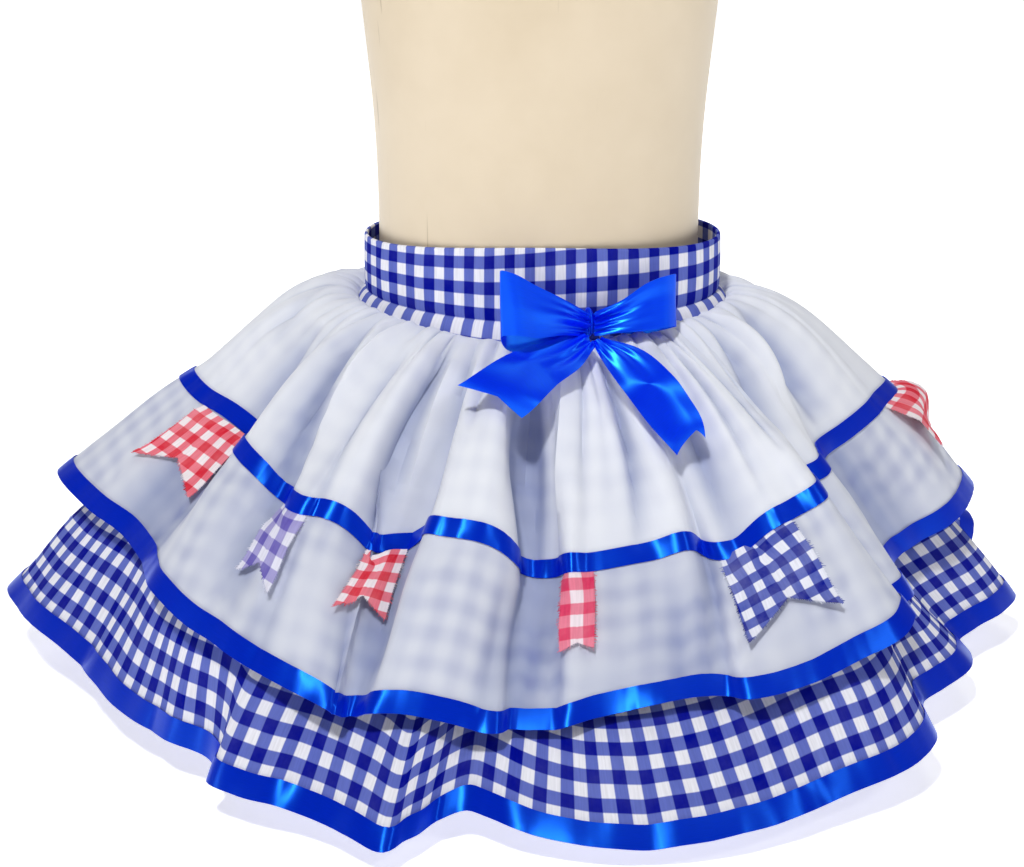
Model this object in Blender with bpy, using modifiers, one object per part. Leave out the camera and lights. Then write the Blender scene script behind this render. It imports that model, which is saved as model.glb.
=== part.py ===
# A toddler's festa junina skirt worn by a limbless dress form.
# Gingham waistband, voile overskirt with two satin ribbons and small swallow-tailed flags,
# gingham underskirt with a satin hem ribbon, and a satin bow on the front.
# Sizes are in millimetres in the tables and become metres where the meshes are made.
# Bearings are in degrees round the upright axis: 0 is the front, -90 the wearer's right
# side, 90 the wearer's left. "Reach" is the distance out from that axis and "up" is the
# height above the base that the form stands on.

import math
from collections import namedtuple

import bpy
import numpy as np

MM = 0.001

# Waist and band
BAND_TOP_UP = 245.0
BAND_FRONT_RISE = 6.0
FOLD_LINE_UP = 215.0
FOLD_LINE_FRONT_DROP = 3.0
SEAM_UP = 209.0
SEAM_FRONT_DROP = 7.5
BAND_TOP_OVAL = (96.4, 72.4)
BAND_FOLD_OVAL = (96.6, 72.7)
BAND_SEAM_OVAL = (101.0, 77.4)
BAND_SIDE_SHIFT = 2.0
BAND_THICK = 2.0
BAND_SIDES = 48

# Cloth
VOILE_THICK = 1.0
GINGHAM_THICK = 1.2
OVER_SEAM_SHIFT = (0.3, -0.6)
UNDER_SEAM_SHIFT = (-1.3, -2.2)
UNDER_CLEARANCE = 9.0
COLUMN_SPACING = 19.0
LOOK_UP_STEP_DEG = 3
LINE_WINDOW_DEG = 9.0
HEM_WINDOW_DEG = 7.0
PANEL_GAP = 0.3
MITRE_LIMIT = 1.5

# Ribbons, flags and bow
RIBBON_THICK = 1.0
RIBBON_GAP = 0.35
UPPER_RIBBON_WIDTH = 10.0
MIDDLE_RIBBON_WIDTH = 11.5
HEM_RIBBON_WIDTH = 12.5
FLAG_THICK = 1.0
FLAG_GAP = 0.9
FLAG_NOTCH = 15.0
FLAG_TUCK = 1.6
FLAG_COLUMNS = 4
FLAG_ROWS = 3
BOW_THICK = 1.0

FoldLine = namedtuple("FoldLine", "line_deg line_reach line_up hem_deg hem_reach hem_up")
HemPoint = namedtuple("HemPoint", "deg reach up")
BackFold = namedtuple("BackFold", "from_deg to_deg line_depth hem_depth")
Section = namedtuple("Section", "up half_width half_depth")
Flag = namedtuple("Flag", "name first_line last_line first_lean last_lean length stand colour")
Station = namedtuple("Station", "x out up half_width tilt")
Tail = namedtuple("Tail", "deg up half_width clearance")

# The voile in front: one row for each crest, valley or folded edge, from the wearer's right
# side seam to the left one, where it crosses the upper ribbon's lower edge and at its hem.
FRONT_FOLDS = [
    FoldLine(-97.0, 189, 147, -97.0, 252, 95),
    FoldLine(-91.0, 198, 160, -90.0, 269, 108),
    FoldLine(-81.0, 186, 156, -78.0, 247, 101),
    FoldLine(-74.0, 174, 153, -72.0, 234, 97),
    FoldLine(-67.0, 166, 147, -65.0, 229, 92),
    FoldLine(-58.0, 183, 148, -54.0, 238, 90),
    FoldLine(-50.0, 183, 141, -46.0, 239, 83),
    FoldLine(-46.0, 179, 133, -42.0, 238, 80),
    FoldLine(-42.0, 185, 133, -39.5, 239, 78),
    FoldLine(-37.0, 181, 133, -33.0, 238, 71),
    FoldLine(-32.5, 174, 126, -27.5, 237, 65),
    FoldLine(-29.0, 168, 116, -24.0, 238, 62),
    FoldLine(-28.5, 159, 112, -24.0, 229, 56),
    FoldLine(-25.5, 153, 112, -23.5, 227, 56),
    FoldLine(-22.5, 154, 119, -22.6, 228, 57),
    FoldLine(-20.3, 165, 127, -21.2, 230, 60),
    FoldLine(-16.0, 168, 129, -18.0, 225, 60),
    FoldLine(-9.0, 164, 124, -11.6, 220, 56),
    FoldLine(-3.5, 154, 108, -5.3, 217, 51),
    FoldLine(-3.0, 147, 104, -4.5, 211, 50),
    FoldLine(0.0, 147, 102, -2.0, 211, 50),
    FoldLine(3.2, 149, 103, 0.7, 212, 51),
    FoldLine(4.2, 155, 107, 2.0, 213, 52),
    FoldLine(9.0, 155, 107, 6.5, 210, 55),
    FoldLine(20.0, 158, 111, 15.0, 212, 60),
    FoldLine(27.0, 163, 115, 21.0, 216, 63),
    FoldLine(30.6, 161, 109, 24.0, 221, 63),
    FoldLine(31.0, 169, 110, 24.8, 228, 64),
    FoldLine(33.0, 175, 113, 27.0, 232, 65),
    FoldLine(38.0, 182, 124, 32.0, 237, 69),
    FoldLine(43.0, 188, 131, 39.0, 242, 76),
    FoldLine(47.5, 192, 137, 46.0, 246, 82),
    FoldLine(50.0, 185, 138, 49.5, 241, 86),
    FoldLine(51.2, 175, 137, 52.5, 227, 82),
    FoldLine(55.0, 178, 139, 56.0, 227, 83),
    FoldLine(59.0, 173, 140, 62.0, 214, 81),
    FoldLine(67.0, 166, 139, 73.0, 202, 77),
    FoldLine(73.0, 173, 142, 78.0, 211, 80),
    FoldLine(80.0, 184, 147, 82.0, 228, 85),
    FoldLine(86.0, 192, 150, 88.0, 243, 91),
    FoldLine(94.0, 203, 150, 94.0, 250, 94),
    FoldLine(101.0, 193, 144, 101.0, 240, 85),
]

# The gingham hem in front, again one row for each crest, valley or folded edge.
FRONT_HEM = [
    HemPoint(-97.0, 285, 32),
    HemPoint(-90.0, 304, 37),
    HemPoint(-84.0, 292, 35),
    HemPoint(-72.0, 265, 30),
    HemPoint(-65.0, 257, 27),
    HemPoint(-59.0, 255, 24),
    HemPoint(-49.0, 249, 22),
    HemPoint(-41.0, 245, 20),
    HemPoint(-39.2, 251, 20),
    HemPoint(-38.4, 259, 20),
    HemPoint(-34.0, 261, 19),
    HemPoint(-28.0, 257, 17),
    HemPoint(-22.0, 260, 15),
    HemPoint(-20.0, 264, 15),
    HemPoint(-15.4, 269, 13),
    HemPoint(-14.8, 260, 13),
    HemPoint(-13.4, 250, 13),
    HemPoint(-11.5, 237, 15),
    HemPoint(-9.0, 231, 17),
    HemPoint(-6.2, 236, 17),
    HemPoint(-3.4, 243, 16),
    HemPoint(1.7, 250, 13),
    HemPoint(9.0, 258, 12),
    HemPoint(16.5, 261, 13),
    HemPoint(24.5, 261, 15),
    HemPoint(34.0, 260, 19),
    HemPoint(44.0, 264, 23),
    HemPoint(49.3, 259, 25),
    HemPoint(53.5, 242, 23),
    HemPoint(57.5, 233, 22),
    HemPoint(63.0, 238, 23),
    HemPoint(69.5, 246, 24),
    HemPoint(74.0, 244, 23),
    HemPoint(79.0, 237, 21),
    HemPoint(83.5, 249, 23),
    HemPoint(88.3, 267, 24),
    HemPoint(94.0, 280, 24),
    HemPoint(101.0, 268, 23),
]

# The hidden half: one row for each fold, with how deep its valley is at the line and the hem.
BACK_VOILE_FOLDS = [
    BackFold(108.0, 120.0, 13, 18),
    BackFold(120.0, 138.0, 16, 22),
    BackFold(138.0, 163.0, 15, 20),
    BackFold(163.0, 193.0, 16, 17),
    BackFold(193.0, 224.0, 17, 21),
    BackFold(224.0, 243.0, 14, 18),
    BackFold(243.0, 257.0, 10, 14),
]
BACK_HEM_FOLDS = [
    BackFold(107.0, 123.0, 0, 18),
    BackFold(123.0, 147.0, 0, 20),
    BackFold(147.0, 171.0, 0, 26),
    BackFold(171.0, 204.0, 0, 22),
    BackFold(204.0, 234.0, 0, 27),
    BackFold(234.0, 249.0, 0, 16),
    BackFold(249.0, 258.0, 0, 10),
]
# Each hidden fold rises fast from its valley to a rounded crest and falls slowly to the next:
# how far along the fold a point lies, and how much of the depth it stands out.
BACK_FOLD_SHAPE = [(0.0, 0.0), (0.2, 0.75), (0.5, 1.0), (0.82, 0.7)]
BACK_LINE_OVAL = (202.0, 166.0)
BACK_VOILE_OVAL = (262.0, 232.0)
BACK_GINGHAM_OVAL = (300.0, 266.0)
BACK_LINE_CUT = 119.0
BACK_VOILE_CUT = 196.0
BACK_GINGHAM_CUT = 257.0

# Flags under the upper ribbon, placed by the number of the fold line at each side of the top,
# with how far each side leans to another fold line at its tip.
FLAGS = [
    Flag("flag_red_right_side", 2.2, 4.05, -0.3, 0.0, 44, 1.5, (0.75, 0.05, 0.09)),
    Flag("flag_lilac_right", 7.0, 8.6, -0.2, -0.1, 42, 1.5, (0.25, 0.19, 0.55)),
    Flag("flag_red_right_front", 10.85, 13.0, -0.8, 0.4, 42, 1.0, (0.78, 0.05, 0.07)),
    Flag("flag_pink_front", 21.75, 23.05, 0.3, -0.05, 41, 1.5, (0.72, 0.11, 0.22)),
    Flag("flag_blue_left_front", 27.15, 29.65, 0.5, 0.35, 51, 2.0, (0.04, 0.07, 0.5)),
    Flag("flag_red_left_side", 39.3, 40.7, 0.0, 0.0, 42, 6.0, (0.75, 0.06, 0.09)),
    Flag("flag_blue_back_left", 47.1, 48.8, 0.2, 0.2, 46, 1.5, (0.04, 0.07, 0.5)),
    Flag("flag_red_back_left", 51.1, 52.9, 0.3, 0.3, 44, 1.5, (0.75, 0.05, 0.08)),
    Flag("flag_lilac_back", 55.1, 56.7, 0.0, 0.0, 44, 1.5, (0.25, 0.19, 0.55)),
    Flag("flag_red_back_right", 59.1, 60.9, -0.2, -0.2, 45, 1.5, (0.76, 0.05, 0.07)),
    Flag("flag_blue_back_right", 63.1, 64.9, -0.3, -0.3, 46, 1.5, (0.04, 0.07, 0.5)),
]

# The dress form, from its base to its closed neck.
FORM_SECTIONS = [
    Section(0, 82, 68),
    Section(8, 88, 73),
    Section(60, 94, 78),
    Section(120, 94, 77.5),
    Section(170, 90, 73),
    Section(205, 87, 69.9),
    Section(250, 86.3, 69.6),
    Section(298, 87, 70.3),
    Section(337, 90.5, 72.5),
    Section(372, 94, 75),
    Section(420, 98.5, 78),
    Section(462, 100, 77),
    Section(492, 94, 69),
    Section(512, 76, 58),
    Section(524, 54, 46),
    Section(534, 40, 37),
    Section(560, 36, 34),
    Section(568, 33, 31),
    Section(571, 24, 23),
]
FORM_SIDES = 36

# The bow. Stations run out from the knot: x across, distance out from the waistband and
# height, with half the ribbon's width and how far that width leans back at the top.
BOW_DEG = 17.5
BOW_UP = 214.0
LOOP_LEFT = [
    Station(4.8, 7.0, 0, 5, 0.0),
    Station(16, 12.0, 5, 9, -1.0),
    Station(32, 15.5, 11, 13, -2.0),
    Station(45, 16.5, 16, 15.5, -2.0),
    Station(50, 13.5, 16, 16.5, -1.0),
    Station(47, 10.0, 8, 16, 1.0),
    Station(33, 8.0, 1, 12, 1.0),
    Station(16, 6.0, -2, 7, 0.5),
    Station(4.8, 3.6, -2, 4, 0.0),
]
LOOP_RIGHT = [
    Station(4.8, 7.0, 0, 5, 0.0),
    Station(14, 12.0, 4, 8, -1.0),
    Station(28, 15.0, 9, 12, -2.0),
    Station(39, 15.0, 11, 13, -2.0),
    Station(44, 11.5, 10, 13.5, -1.0),
    Station(40, 8.0, 7, 13, 1.0),
    Station(28, 6.0, 3, 11, 1.0),
    Station(14, 5.4, 1, 7.5, 0.5),
    Station(4.8, 4.0, -1, 4, 0.0),
]
KNOT_HALF = (4.0, 6.2, 8.5)
KNOT_OUT = 2.2
# Tails: where their middle runs, by bearing and height, with half the ribbon's width and how
# far it stands off the voile.
TAIL_LEFT = [
    Tail(15.7, 205.8, 4, 2.8),
    Tail(5.5, 198, 10, 2.6),
    Tail(-1.5, 192.5, 14, 2.6),
    Tail(-8.0, 186.5, 17, 3.0),
    Tail(-12.5, 181, 17, 3.0),
]
TAIL_RIGHT = [
    Tail(19.5, 205.8, 4, 2.8),
    Tail(24.0, 199, 10, 2.8),
    Tail(29.0, 188, 14, 3.0),
    Tail(31.5, 174, 12, 3.5),
    Tail(31.0, 161, 8, 4.0),
]
TAIL_NOTCH = 9.0
TAIL_GAP = 1.2


def oval_reach(bearing, oval):
    """Reach of an oval, (half width, half depth), at a bearing in radians."""
    return 1.0 / math.hypot(math.sin(bearing) / oval[0], math.cos(bearing) / oval[1])


def band_reach(bearing, oval):
    """Reach of the band, which sits a little to the wearer's left of the form's axis."""
    return oval_reach(bearing, oval) + BAND_SIDE_SHIFT * math.sin(bearing)


def place(bearing, reach, up):
    return np.array([reach * math.sin(bearing), -reach * math.cos(bearing), up])


def front_share(bearing):
    """1 at the front, falling to 0 at the sides and behind."""
    return max(math.cos(bearing), 0.0) ** 2


def seam_up(bearing):
    return SEAM_UP - SEAM_FRONT_DROP * front_share(bearing)


def seam_point(bearing, shift):
    """A point near the band's lower edge, moved (outwards, upwards) by shift."""
    reach = band_reach(bearing, BAND_SEAM_OVAL) + shift[0]
    return place(bearing, reach, seam_up(bearing) + shift[1])


def back_points(folds, oval, cut, depth_name):
    """Rows (bearing in degrees, reach, up) of hidden folds; cloth of one length hangs them."""
    rows = []
    for fold in folds:
        depth = getattr(fold, depth_name)
        for along, stand in BACK_FOLD_SHAPE:
            degrees = fold.from_deg + along * (fold.to_deg - fold.from_deg)
            bearing = math.radians(degrees)
            seam = band_reach(bearing, BAND_SEAM_OVAL)
            reach = oval_reach(bearing, oval) - depth * (1.0 - stand)
            drop = math.sqrt(cut**2 - (reach - seam) ** 2)
            rows.append((degrees, reach, SEAM_UP - drop))
    return rows


def running_mean(values, half_window, whole_turn=0.0):
    """Running mean round the closed skirt; whole_turn is what a value gains in going round."""
    count = len(values)
    smooth = []
    for middle in range(count):
        total = 0.0
        for step in range(middle - half_window, middle + half_window + 1):
            total += values[step % count] + whole_turn * (step // count)
        smooth.append(total / (2 * half_window + 1))
    return smooth


class ClosedCurve:
    """A smooth closed curve through rows of numbers, each row a few numbers long."""

    def __init__(self, rows, spacing_of):
        self.rows = np.array(rows, float)
        ahead = np.roll(spacing_of, -1, axis=0)
        self.steps = np.linalg.norm(ahead - spacing_of, axis=1)
        slopes = (np.roll(self.rows, -1, axis=0) - self.rows) / self.steps[:, None]
        before = np.roll(slopes, 1, axis=0)
        step_before = np.roll(self.steps, 1)[:, None]
        step_after = self.steps[:, None]
        self.tangents = (slopes * step_before + before * step_after) / (step_before + step_after)

    def at(self, line):
        """Value at a fold line number, which may lie between two rows."""
        count = len(self.rows)
        first = int(math.floor(line))
        part = line - first
        first %= count
        second = (first + 1) % count
        return hermite(
            self.rows[first],
            self.rows[second],
            self.tangents[first] * self.steps[first],
            self.tangents[second] * self.steps[first],
            part,
        )


def hermite(start, end, leave, arrive, part):
    square = part * part
    cube = square * part
    return (
        (2 * cube - 3 * square + 1) * start
        + (cube - 2 * square + part) * leave
        + (3 * square - 2 * cube) * end
        + (cube - square) * arrive
    )


def hang(knots, leave, segment, part):
    """Point of one fold line, which runs from the seam through its knots.

    leave is the direction in which it leaves the seam."""
    spans = [np.linalg.norm(knots[i + 1] - knots[i]) for i in range(len(knots) - 1)]
    slopes = [(knots[i + 1] - knots[i]) / spans[i] for i in range(len(spans))]
    tangents = [leave]
    for i in range(1, len(spans)):
        mixed = (slopes[i - 1] * spans[i] + slopes[i] * spans[i - 1]) / (spans[i] + spans[i - 1])
        tangents.append(mixed)
    tangents.append(slopes[-1])
    return hermite(
        knots[segment],
        knots[segment + 1],
        tangents[segment] * spans[segment],
        tangents[segment + 1] * spans[segment],
        part,
    )


def leave_seam(bearing):
    """Direction in which gathered cloth leaves the seam: nearly level at the sides."""
    slope = math.radians(8.0 - 36.0 * front_share(bearing) - 12.0 * front_share(bearing + math.pi))
    return np.array(
        [
            math.sin(bearing) * math.cos(slope),
            -math.cos(bearing) * math.cos(slope),
            math.sin(slope),
        ]
    )


class HungCloth:
    """Cloth whose fold lines each hang from the seam through a few knots."""

    def point(self, line, level):
        """level is (segment, part) or (segment, part, millimetres back up from it)."""
        knots, leave = self.knots(line)
        part = level[1]
        if len(level) > 2:
            part -= level[2] / np.linalg.norm(knots[level[0] + 1] - knots[level[0]])
        return hang(knots, leave, level[0], part)


class Overskirt(HungCloth):
    """The voile, from the waist seam through the upper ribbon's lower edge to its hem."""

    def __init__(self):
        line = [(row.line_deg, row.line_reach, row.line_up) for row in FRONT_FOLDS]
        hem = [(row.hem_deg, row.hem_reach, row.hem_up) for row in FRONT_FOLDS]
        line += back_points(BACK_VOILE_FOLDS, BACK_LINE_OVAL, BACK_LINE_CUT, "line_depth")
        hem += back_points(BACK_VOILE_FOLDS, BACK_VOILE_OVAL, BACK_VOILE_CUT, "hem_depth")
        gathered = running_mean([row[0] for row in line], 3, 360.0)
        line_points = [place(math.radians(row[0]), row[1], row[2]) for row in line]
        hem_points = [place(math.radians(row[0]), row[1], row[2]) for row in hem]
        ring = np.array([[math.cos(math.radians(d)), math.sin(math.radians(d))] for d in gathered])
        rows = np.hstack([ring, line_points, hem_points])
        self.curve = ClosedCurve(rows, np.array(hem_points))
        self.count = len(rows)

    def knots(self, line):
        row = self.curve.at(line)
        bearing = math.atan2(row[1], row[0])
        return [seam_point(bearing, OVER_SEAM_SHIFT), row[2:5], row[5:8]], leave_seam(bearing)


def lowest_reach(over, segment, half_window):
    """Least reach and least height of the voile near each bearing, as a function of it."""
    samples = []
    for line in np.arange(0.0, over.count, 0.2):
        spot = over.point(line, (segment, 1.0))
        samples.append((math.atan2(spot[0], -spot[1]), math.hypot(spot[0], spot[1]), spot[2]))
    samples = np.array(samples)
    bearings = np.radians(np.arange(0, 360, LOOK_UP_STEP_DEG))
    found = []
    for bearing in bearings:
        away = np.abs((samples[:, 0] - bearing + math.pi) % (2 * math.pi) - math.pi)
        near = samples[away < math.radians(half_window)]
        found.append((near[:, 1].min(), near[:, 2].min()))
    found = np.array(found)
    for _ in range(2):
        found = (np.roll(found, 1, axis=0) + found * 2 + np.roll(found, -1, axis=0)) / 4

    def look_up(bearing):
        spot = (math.degrees(bearing) % 360) / LOOK_UP_STEP_DEG
        first = int(spot) % len(found)
        part = spot - int(spot)
        return found[first] * (1 - part) + found[(first + 1) % len(found)] * part

    return look_up


class Underskirt(HungCloth):
    """The gingham: it hangs inside the voile and its own folds open out below the voile."""

    def __init__(self, over):
        self.line_inside = lowest_reach(over, 0, LINE_WINDOW_DEG)
        self.hem_inside = lowest_reach(over, 1, HEM_WINDOW_DEG)
        rows = [(row.deg, row.reach, row.up) for row in FRONT_HEM]
        rows += back_points(BACK_HEM_FOLDS, BACK_GINGHAM_OVAL, BACK_GINGHAM_CUT, "hem_depth")
        points = [place(math.radians(row[0]), row[1], row[2]) for row in rows]
        gathered = running_mean([row[0] for row in rows], 2, 360.0)
        mean_reach = running_mean([row[1] for row in rows], 3)
        table = []
        for row, spot, degrees, mean in zip(rows, points, gathered, mean_reach):
            ring = (math.cos(math.radians(degrees)), math.sin(math.radians(degrees)))
            shift = math.radians(row[0] - degrees)
            table.append([*ring, *spot, shift, row[1] - mean])
        self.curve = ClosedCurve(table, np.array(points))
        self.count = len(table)

    def knots(self, line):
        row = self.curve.at(line)
        bearing = math.atan2(row[1], row[0])
        seam = seam_point(bearing, UNDER_SEAM_SHIFT)
        reach, up = self.line_inside(bearing)
        middle = place(bearing, reach - UNDER_CLEARANCE, up - 2.0)
        turned = bearing + 0.6 * row[5]
        reach, up = self.hem_inside(turned)
        fold = min(max(0.45 * row[6], -9.0), 2.5)
        knee = place(turned, reach - UNDER_CLEARANCE + fold, up)
        return [seam, middle, knee, row[2:5]], leave_seam(bearing)


def columns_of(skirt, first, last):
    """Fold line numbers from first to last, spaced evenly along the hem inside each fold."""
    lines = []
    for row in range(first, last):
        step = skirt.curve.steps[row % skirt.count]
        pieces = max(1, round(step / COLUMN_SPACING))
        lines += [row + piece / pieces for piece in range(pieces)]
    return lines + [float(last)]


OVER_LEVELS = [
    (0, 0.0),
    (0, 0.22),
    (0, 0.58),
    (0, 1.0, UPPER_RIBBON_WIDTH),
    (0, 1.0),
    (1, 0.5),
    (1, 1.0, MIDDLE_RIBBON_WIDTH),
    (1, 1.0),
]
UNDER_LEVELS = [
    (0, 0.0),
    (0, 0.3),
    (1, 0.0),
    (2, 0.0),
    (2, 1.0, HEM_RIBBON_WIDTH),
    (2, 1.0),
]


def grid_of(skirt, lines, levels):
    return np.array([[skirt.point(line, level) for level in levels] for line in lines])


def unit(vectors):
    return vectors / np.linalg.norm(vectors, axis=-1, keepdims=True)


def ring_normals(grid):
    """Outward normals of a closed ring of points, columns round and levels down.

    They are longer than 1 at a folded edge, so that both its sides move equally far."""
    ahead = unit(np.roll(grid, -1, axis=0) - grid)
    across = ahead + np.roll(ahead, 1, axis=0)
    mitre = 2.0 / np.linalg.norm(across, axis=-1, keepdims=True)
    down = np.gradient(grid, axis=1)
    return unit(np.cross(down, across)) * np.minimum(mitre, MITRE_LIMIT)


def new_material(name, colour, roughness, metallic=0.0):
    material = bpy.data.materials.new(name)
    material.use_nodes = True
    shader = material.node_tree.nodes["Principled BSDF"]
    shader.inputs["Base Color"].default_value = (*colour, 1.0)
    shader.inputs["Roughness"].default_value = roughness
    shader.inputs["Metallic"].default_value = metallic
    material.diffuse_color = (*colour, 1.0)
    return material


def new_object(name, points, faces, material, thick=None):
    """A mesh object; with a thickness, an open surface that Solidify turns into a wall."""
    mesh = bpy.data.meshes.new(name)
    mesh.from_pydata([tuple(MM * value for value in point) for point in points], [], faces)
    mesh.shade_smooth()
    mesh.materials.append(material)
    piece = bpy.data.objects.new(name, mesh)
    parts.objects.link(piece)
    if thick:
        wall = piece.modifiers.new("cloth thickness", "SOLIDIFY")
        wall.thickness = thick * MM
        wall.offset = -1.0
        wall.use_even_offset = False
    return piece


def sheet_faces(columns, rows, closed):
    """Quads of a grid of points, wound so that they face outwards."""
    faces = []
    last = columns if closed else columns - 1
    for column in range(last):
        following = (column + 1) % columns
        for row in range(rows - 1):
            a = column * rows + row
            b = following * rows + row
            faces.append((a, a + 1, b + 1, b))
    return faces


def make_sheet(name, grid, closed, material, thick):
    columns, rows = grid.shape[:2]
    return new_object(
        name, grid.reshape(-1, 3), sheet_faces(columns, rows, closed), material, thick
    )


def make_panels(stem, skirt, front_rows, levels, material, thick):
    """Front and back panels, a little apart at the side seams."""
    spans = {"front": (0, front_rows - 1), "back": (front_rows - 1, skirt.count)}
    for side, (first, last) in spans.items():
        lines = columns_of(skirt, first, last)
        grid = grid_of(skirt, lines, levels)
        for edge, inner in ((0, 1), (-1, -2)):
            grid[edge] += unit(grid[inner] - grid[edge]) * PANEL_GAP
        make_sheet(f"{stem}_{side}", grid, False, material, thick)


def make_ribbon(name, skirt, levels, edges, material):
    """A ribbon stitched on a skirt: the skirt's own points between two levels, moved out."""
    lines = columns_of(skirt, 0, skirt.count)[:-1]
    grid = grid_of(skirt, lines, levels)
    normals = ring_normals(grid)
    moved = grid + normals * (RIBBON_GAP + RIBBON_THICK)
    make_sheet(name, moved[:, edges], True, material, RIBBON_THICK)


def make_waistband(material):
    """The band: straight down to a stitched fold line, then flaring out to the seam."""
    grid = []
    for column in range(BAND_SIDES):
        bearing = 2 * math.pi * column / BAND_SIDES
        front = front_share(bearing)
        top = BAND_TOP_UP + BAND_FRONT_RISE * front
        fold = FOLD_LINE_UP - FOLD_LINE_FRONT_DROP * front
        grid.append(
            [
                place(bearing, band_reach(bearing, BAND_TOP_OVAL), top),
                place(bearing, band_reach(bearing, BAND_FOLD_OVAL), fold),
                seam_point(bearing, (0.0, 0.0)),
            ]
        )
    make_sheet("waistband", np.array(grid), True, material, BAND_THICK)


class FacetedVoile:
    """The voile's flat facets, for what lies on them."""

    def __init__(self, over):
        self.lines = columns_of(over, 0, over.count)
        self.grid = grid_of(over, self.lines[:-1], OVER_LEVELS)
        self.normals = ring_normals(self.grid)

    def column(self, line):
        column = int(np.searchsorted(self.lines, line, side="right")) - 1
        part = (line - self.lines[column]) / (self.lines[column + 1] - self.lines[column])
        following = (column + 1) % len(self.grid)
        points = self.grid[column] * (1 - part) + self.grid[following] * part
        normals = self.normals[column] * (1 - part) + self.normals[following] * part
        return points, normals

    def below_ribbon(self, line, down):
        """Point and normal a distance down the cloth from the upper ribbon's lower edge."""
        points, normals = self.column(line % self.lines[-1])
        start = OVER_LEVELS.index((0, 1.0))
        for level in range(start, len(points) - 1):
            span = np.linalg.norm(points[level + 1] - points[level])
            if down <= span or level == len(points) - 2:
                part = down / span
                spot = points[level] * (1 - part) + points[level + 1] * part
                return spot, normals[level] * (1 - part) + normals[level + 1] * part
            down -= span
        return points[-1], normals[-1]


def flag_spot(flag, voile, across, share, length):
    """A point of the flag on the voile, across it and down it by shares of 1."""
    first = flag.first_line + flag.first_lean * share
    last = flag.last_line + flag.last_lean * share
    line = first + across * (last - first)
    spot, normal = voile.below_ribbon(line, FLAG_TUCK + length * share)
    return spot + normal * (FLAG_GAP + FLAG_THICK + flag.stand * share)


def make_flag(flag, voile, material):
    """A swallow-tailed flag whose top is caught at the ribbon; it spans the voile's hollows."""
    grid = []
    for column in range(FLAG_COLUMNS + 1):
        across = column / FLAG_COLUMNS
        length = flag.length - FLAG_NOTCH * (1 - abs(2 * across - 1))
        points = []
        for row in range(FLAG_ROWS + 1):
            share = row / FLAG_ROWS
            spot = flag_spot(flag, voile, across, share, length)
            left = flag_spot(flag, voile, 0.0, share, length)
            right = flag_spot(flag, voile, 1.0, share, length)
            taut = left * (1 - across) + right * across
            if math.hypot(*taut[:2]) > math.hypot(*spot[:2]):
                spot = taut
            points.append(spot)
        grid.append(points)
    make_sheet(flag.name, np.array(grid), False, material, FLAG_THICK)


def bow_frame():
    """Origin on the band's front, and the directions across, outward and up there."""
    bearing = math.radians(BOW_DEG)
    origin = place(bearing, band_reach(bearing, BAND_SEAM_OVAL), BOW_UP)
    across = np.array([math.cos(bearing), math.sin(bearing), 0.0])
    outward = np.array([math.sin(bearing), -math.cos(bearing), 0.0])
    return origin, across, outward


def make_loop(name, stations, side, material):
    """A loop of ribbon that leaves the knot in front and comes back behind."""
    origin, across, outward = bow_frame()
    grid = []
    for station in stations:
        middle = origin + across * side * station.x + outward * station.out
        middle = middle + np.array([0.0, 0.0, station.up])
        rows = []
        for share in (1.0, 0.0, -1.0):
            lean = outward * station.tilt * share
            rows.append(middle + lean + np.array([0.0, 0.0, station.half_width * share]))
        grid.append(rows)
    if side < 0:
        grid.reverse()
    make_sheet(name, np.array(grid), False, material, BOW_THICK)


def make_knot(material):
    """The small wrapped knot, a rounded block in front of the band."""
    origin, across, outward = bow_frame()
    centre = origin + outward * KNOT_OUT
    bpy.ops.mesh.primitive_uv_sphere_add(segments=12, ring_count=8, radius=1.0)
    knot = bpy.context.object
    knot.name = "bow_knot"
    knot.data.name = "bow_knot"
    for vertex in knot.data.vertices:
        spot = centre + across * vertex.co.x * KNOT_HALF[0]
        spot = spot + outward * vertex.co.y * -KNOT_HALF[1]
        spot = spot + np.array([0.0, 0.0, vertex.co.z * KNOT_HALF[2]])
        vertex.co = [MM * value for value in spot]
    knot.data.shade_smooth()
    knot.data.materials.append(material)
    for holder in list(knot.users_collection):
        holder.objects.unlink(knot)
    parts.objects.link(knot)


def outermost(over):
    """Furthest reach of voile or band near a bearing and a height."""
    cloud = []
    for line in np.arange(0.0, over.count, 0.25):
        for part in np.arange(0.0, 1.01, 0.05):
            spot = over.point(line, (0, part))
            cloud.append((math.atan2(spot[0], -spot[1]), spot[2], math.hypot(spot[0], spot[1])))
    cloud = np.array(cloud)

    def look_up(degrees, up):
        bearing = math.radians(degrees)
        near = (np.abs(cloud[:, 0] - bearing) < math.radians(4)) & (np.abs(cloud[:, 1] - up) < 5)
        reach = cloud[near, 2].max() if near.any() else 0.0
        return max(reach, band_reach(bearing, BAND_SEAM_OVAL))

    return look_up


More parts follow.
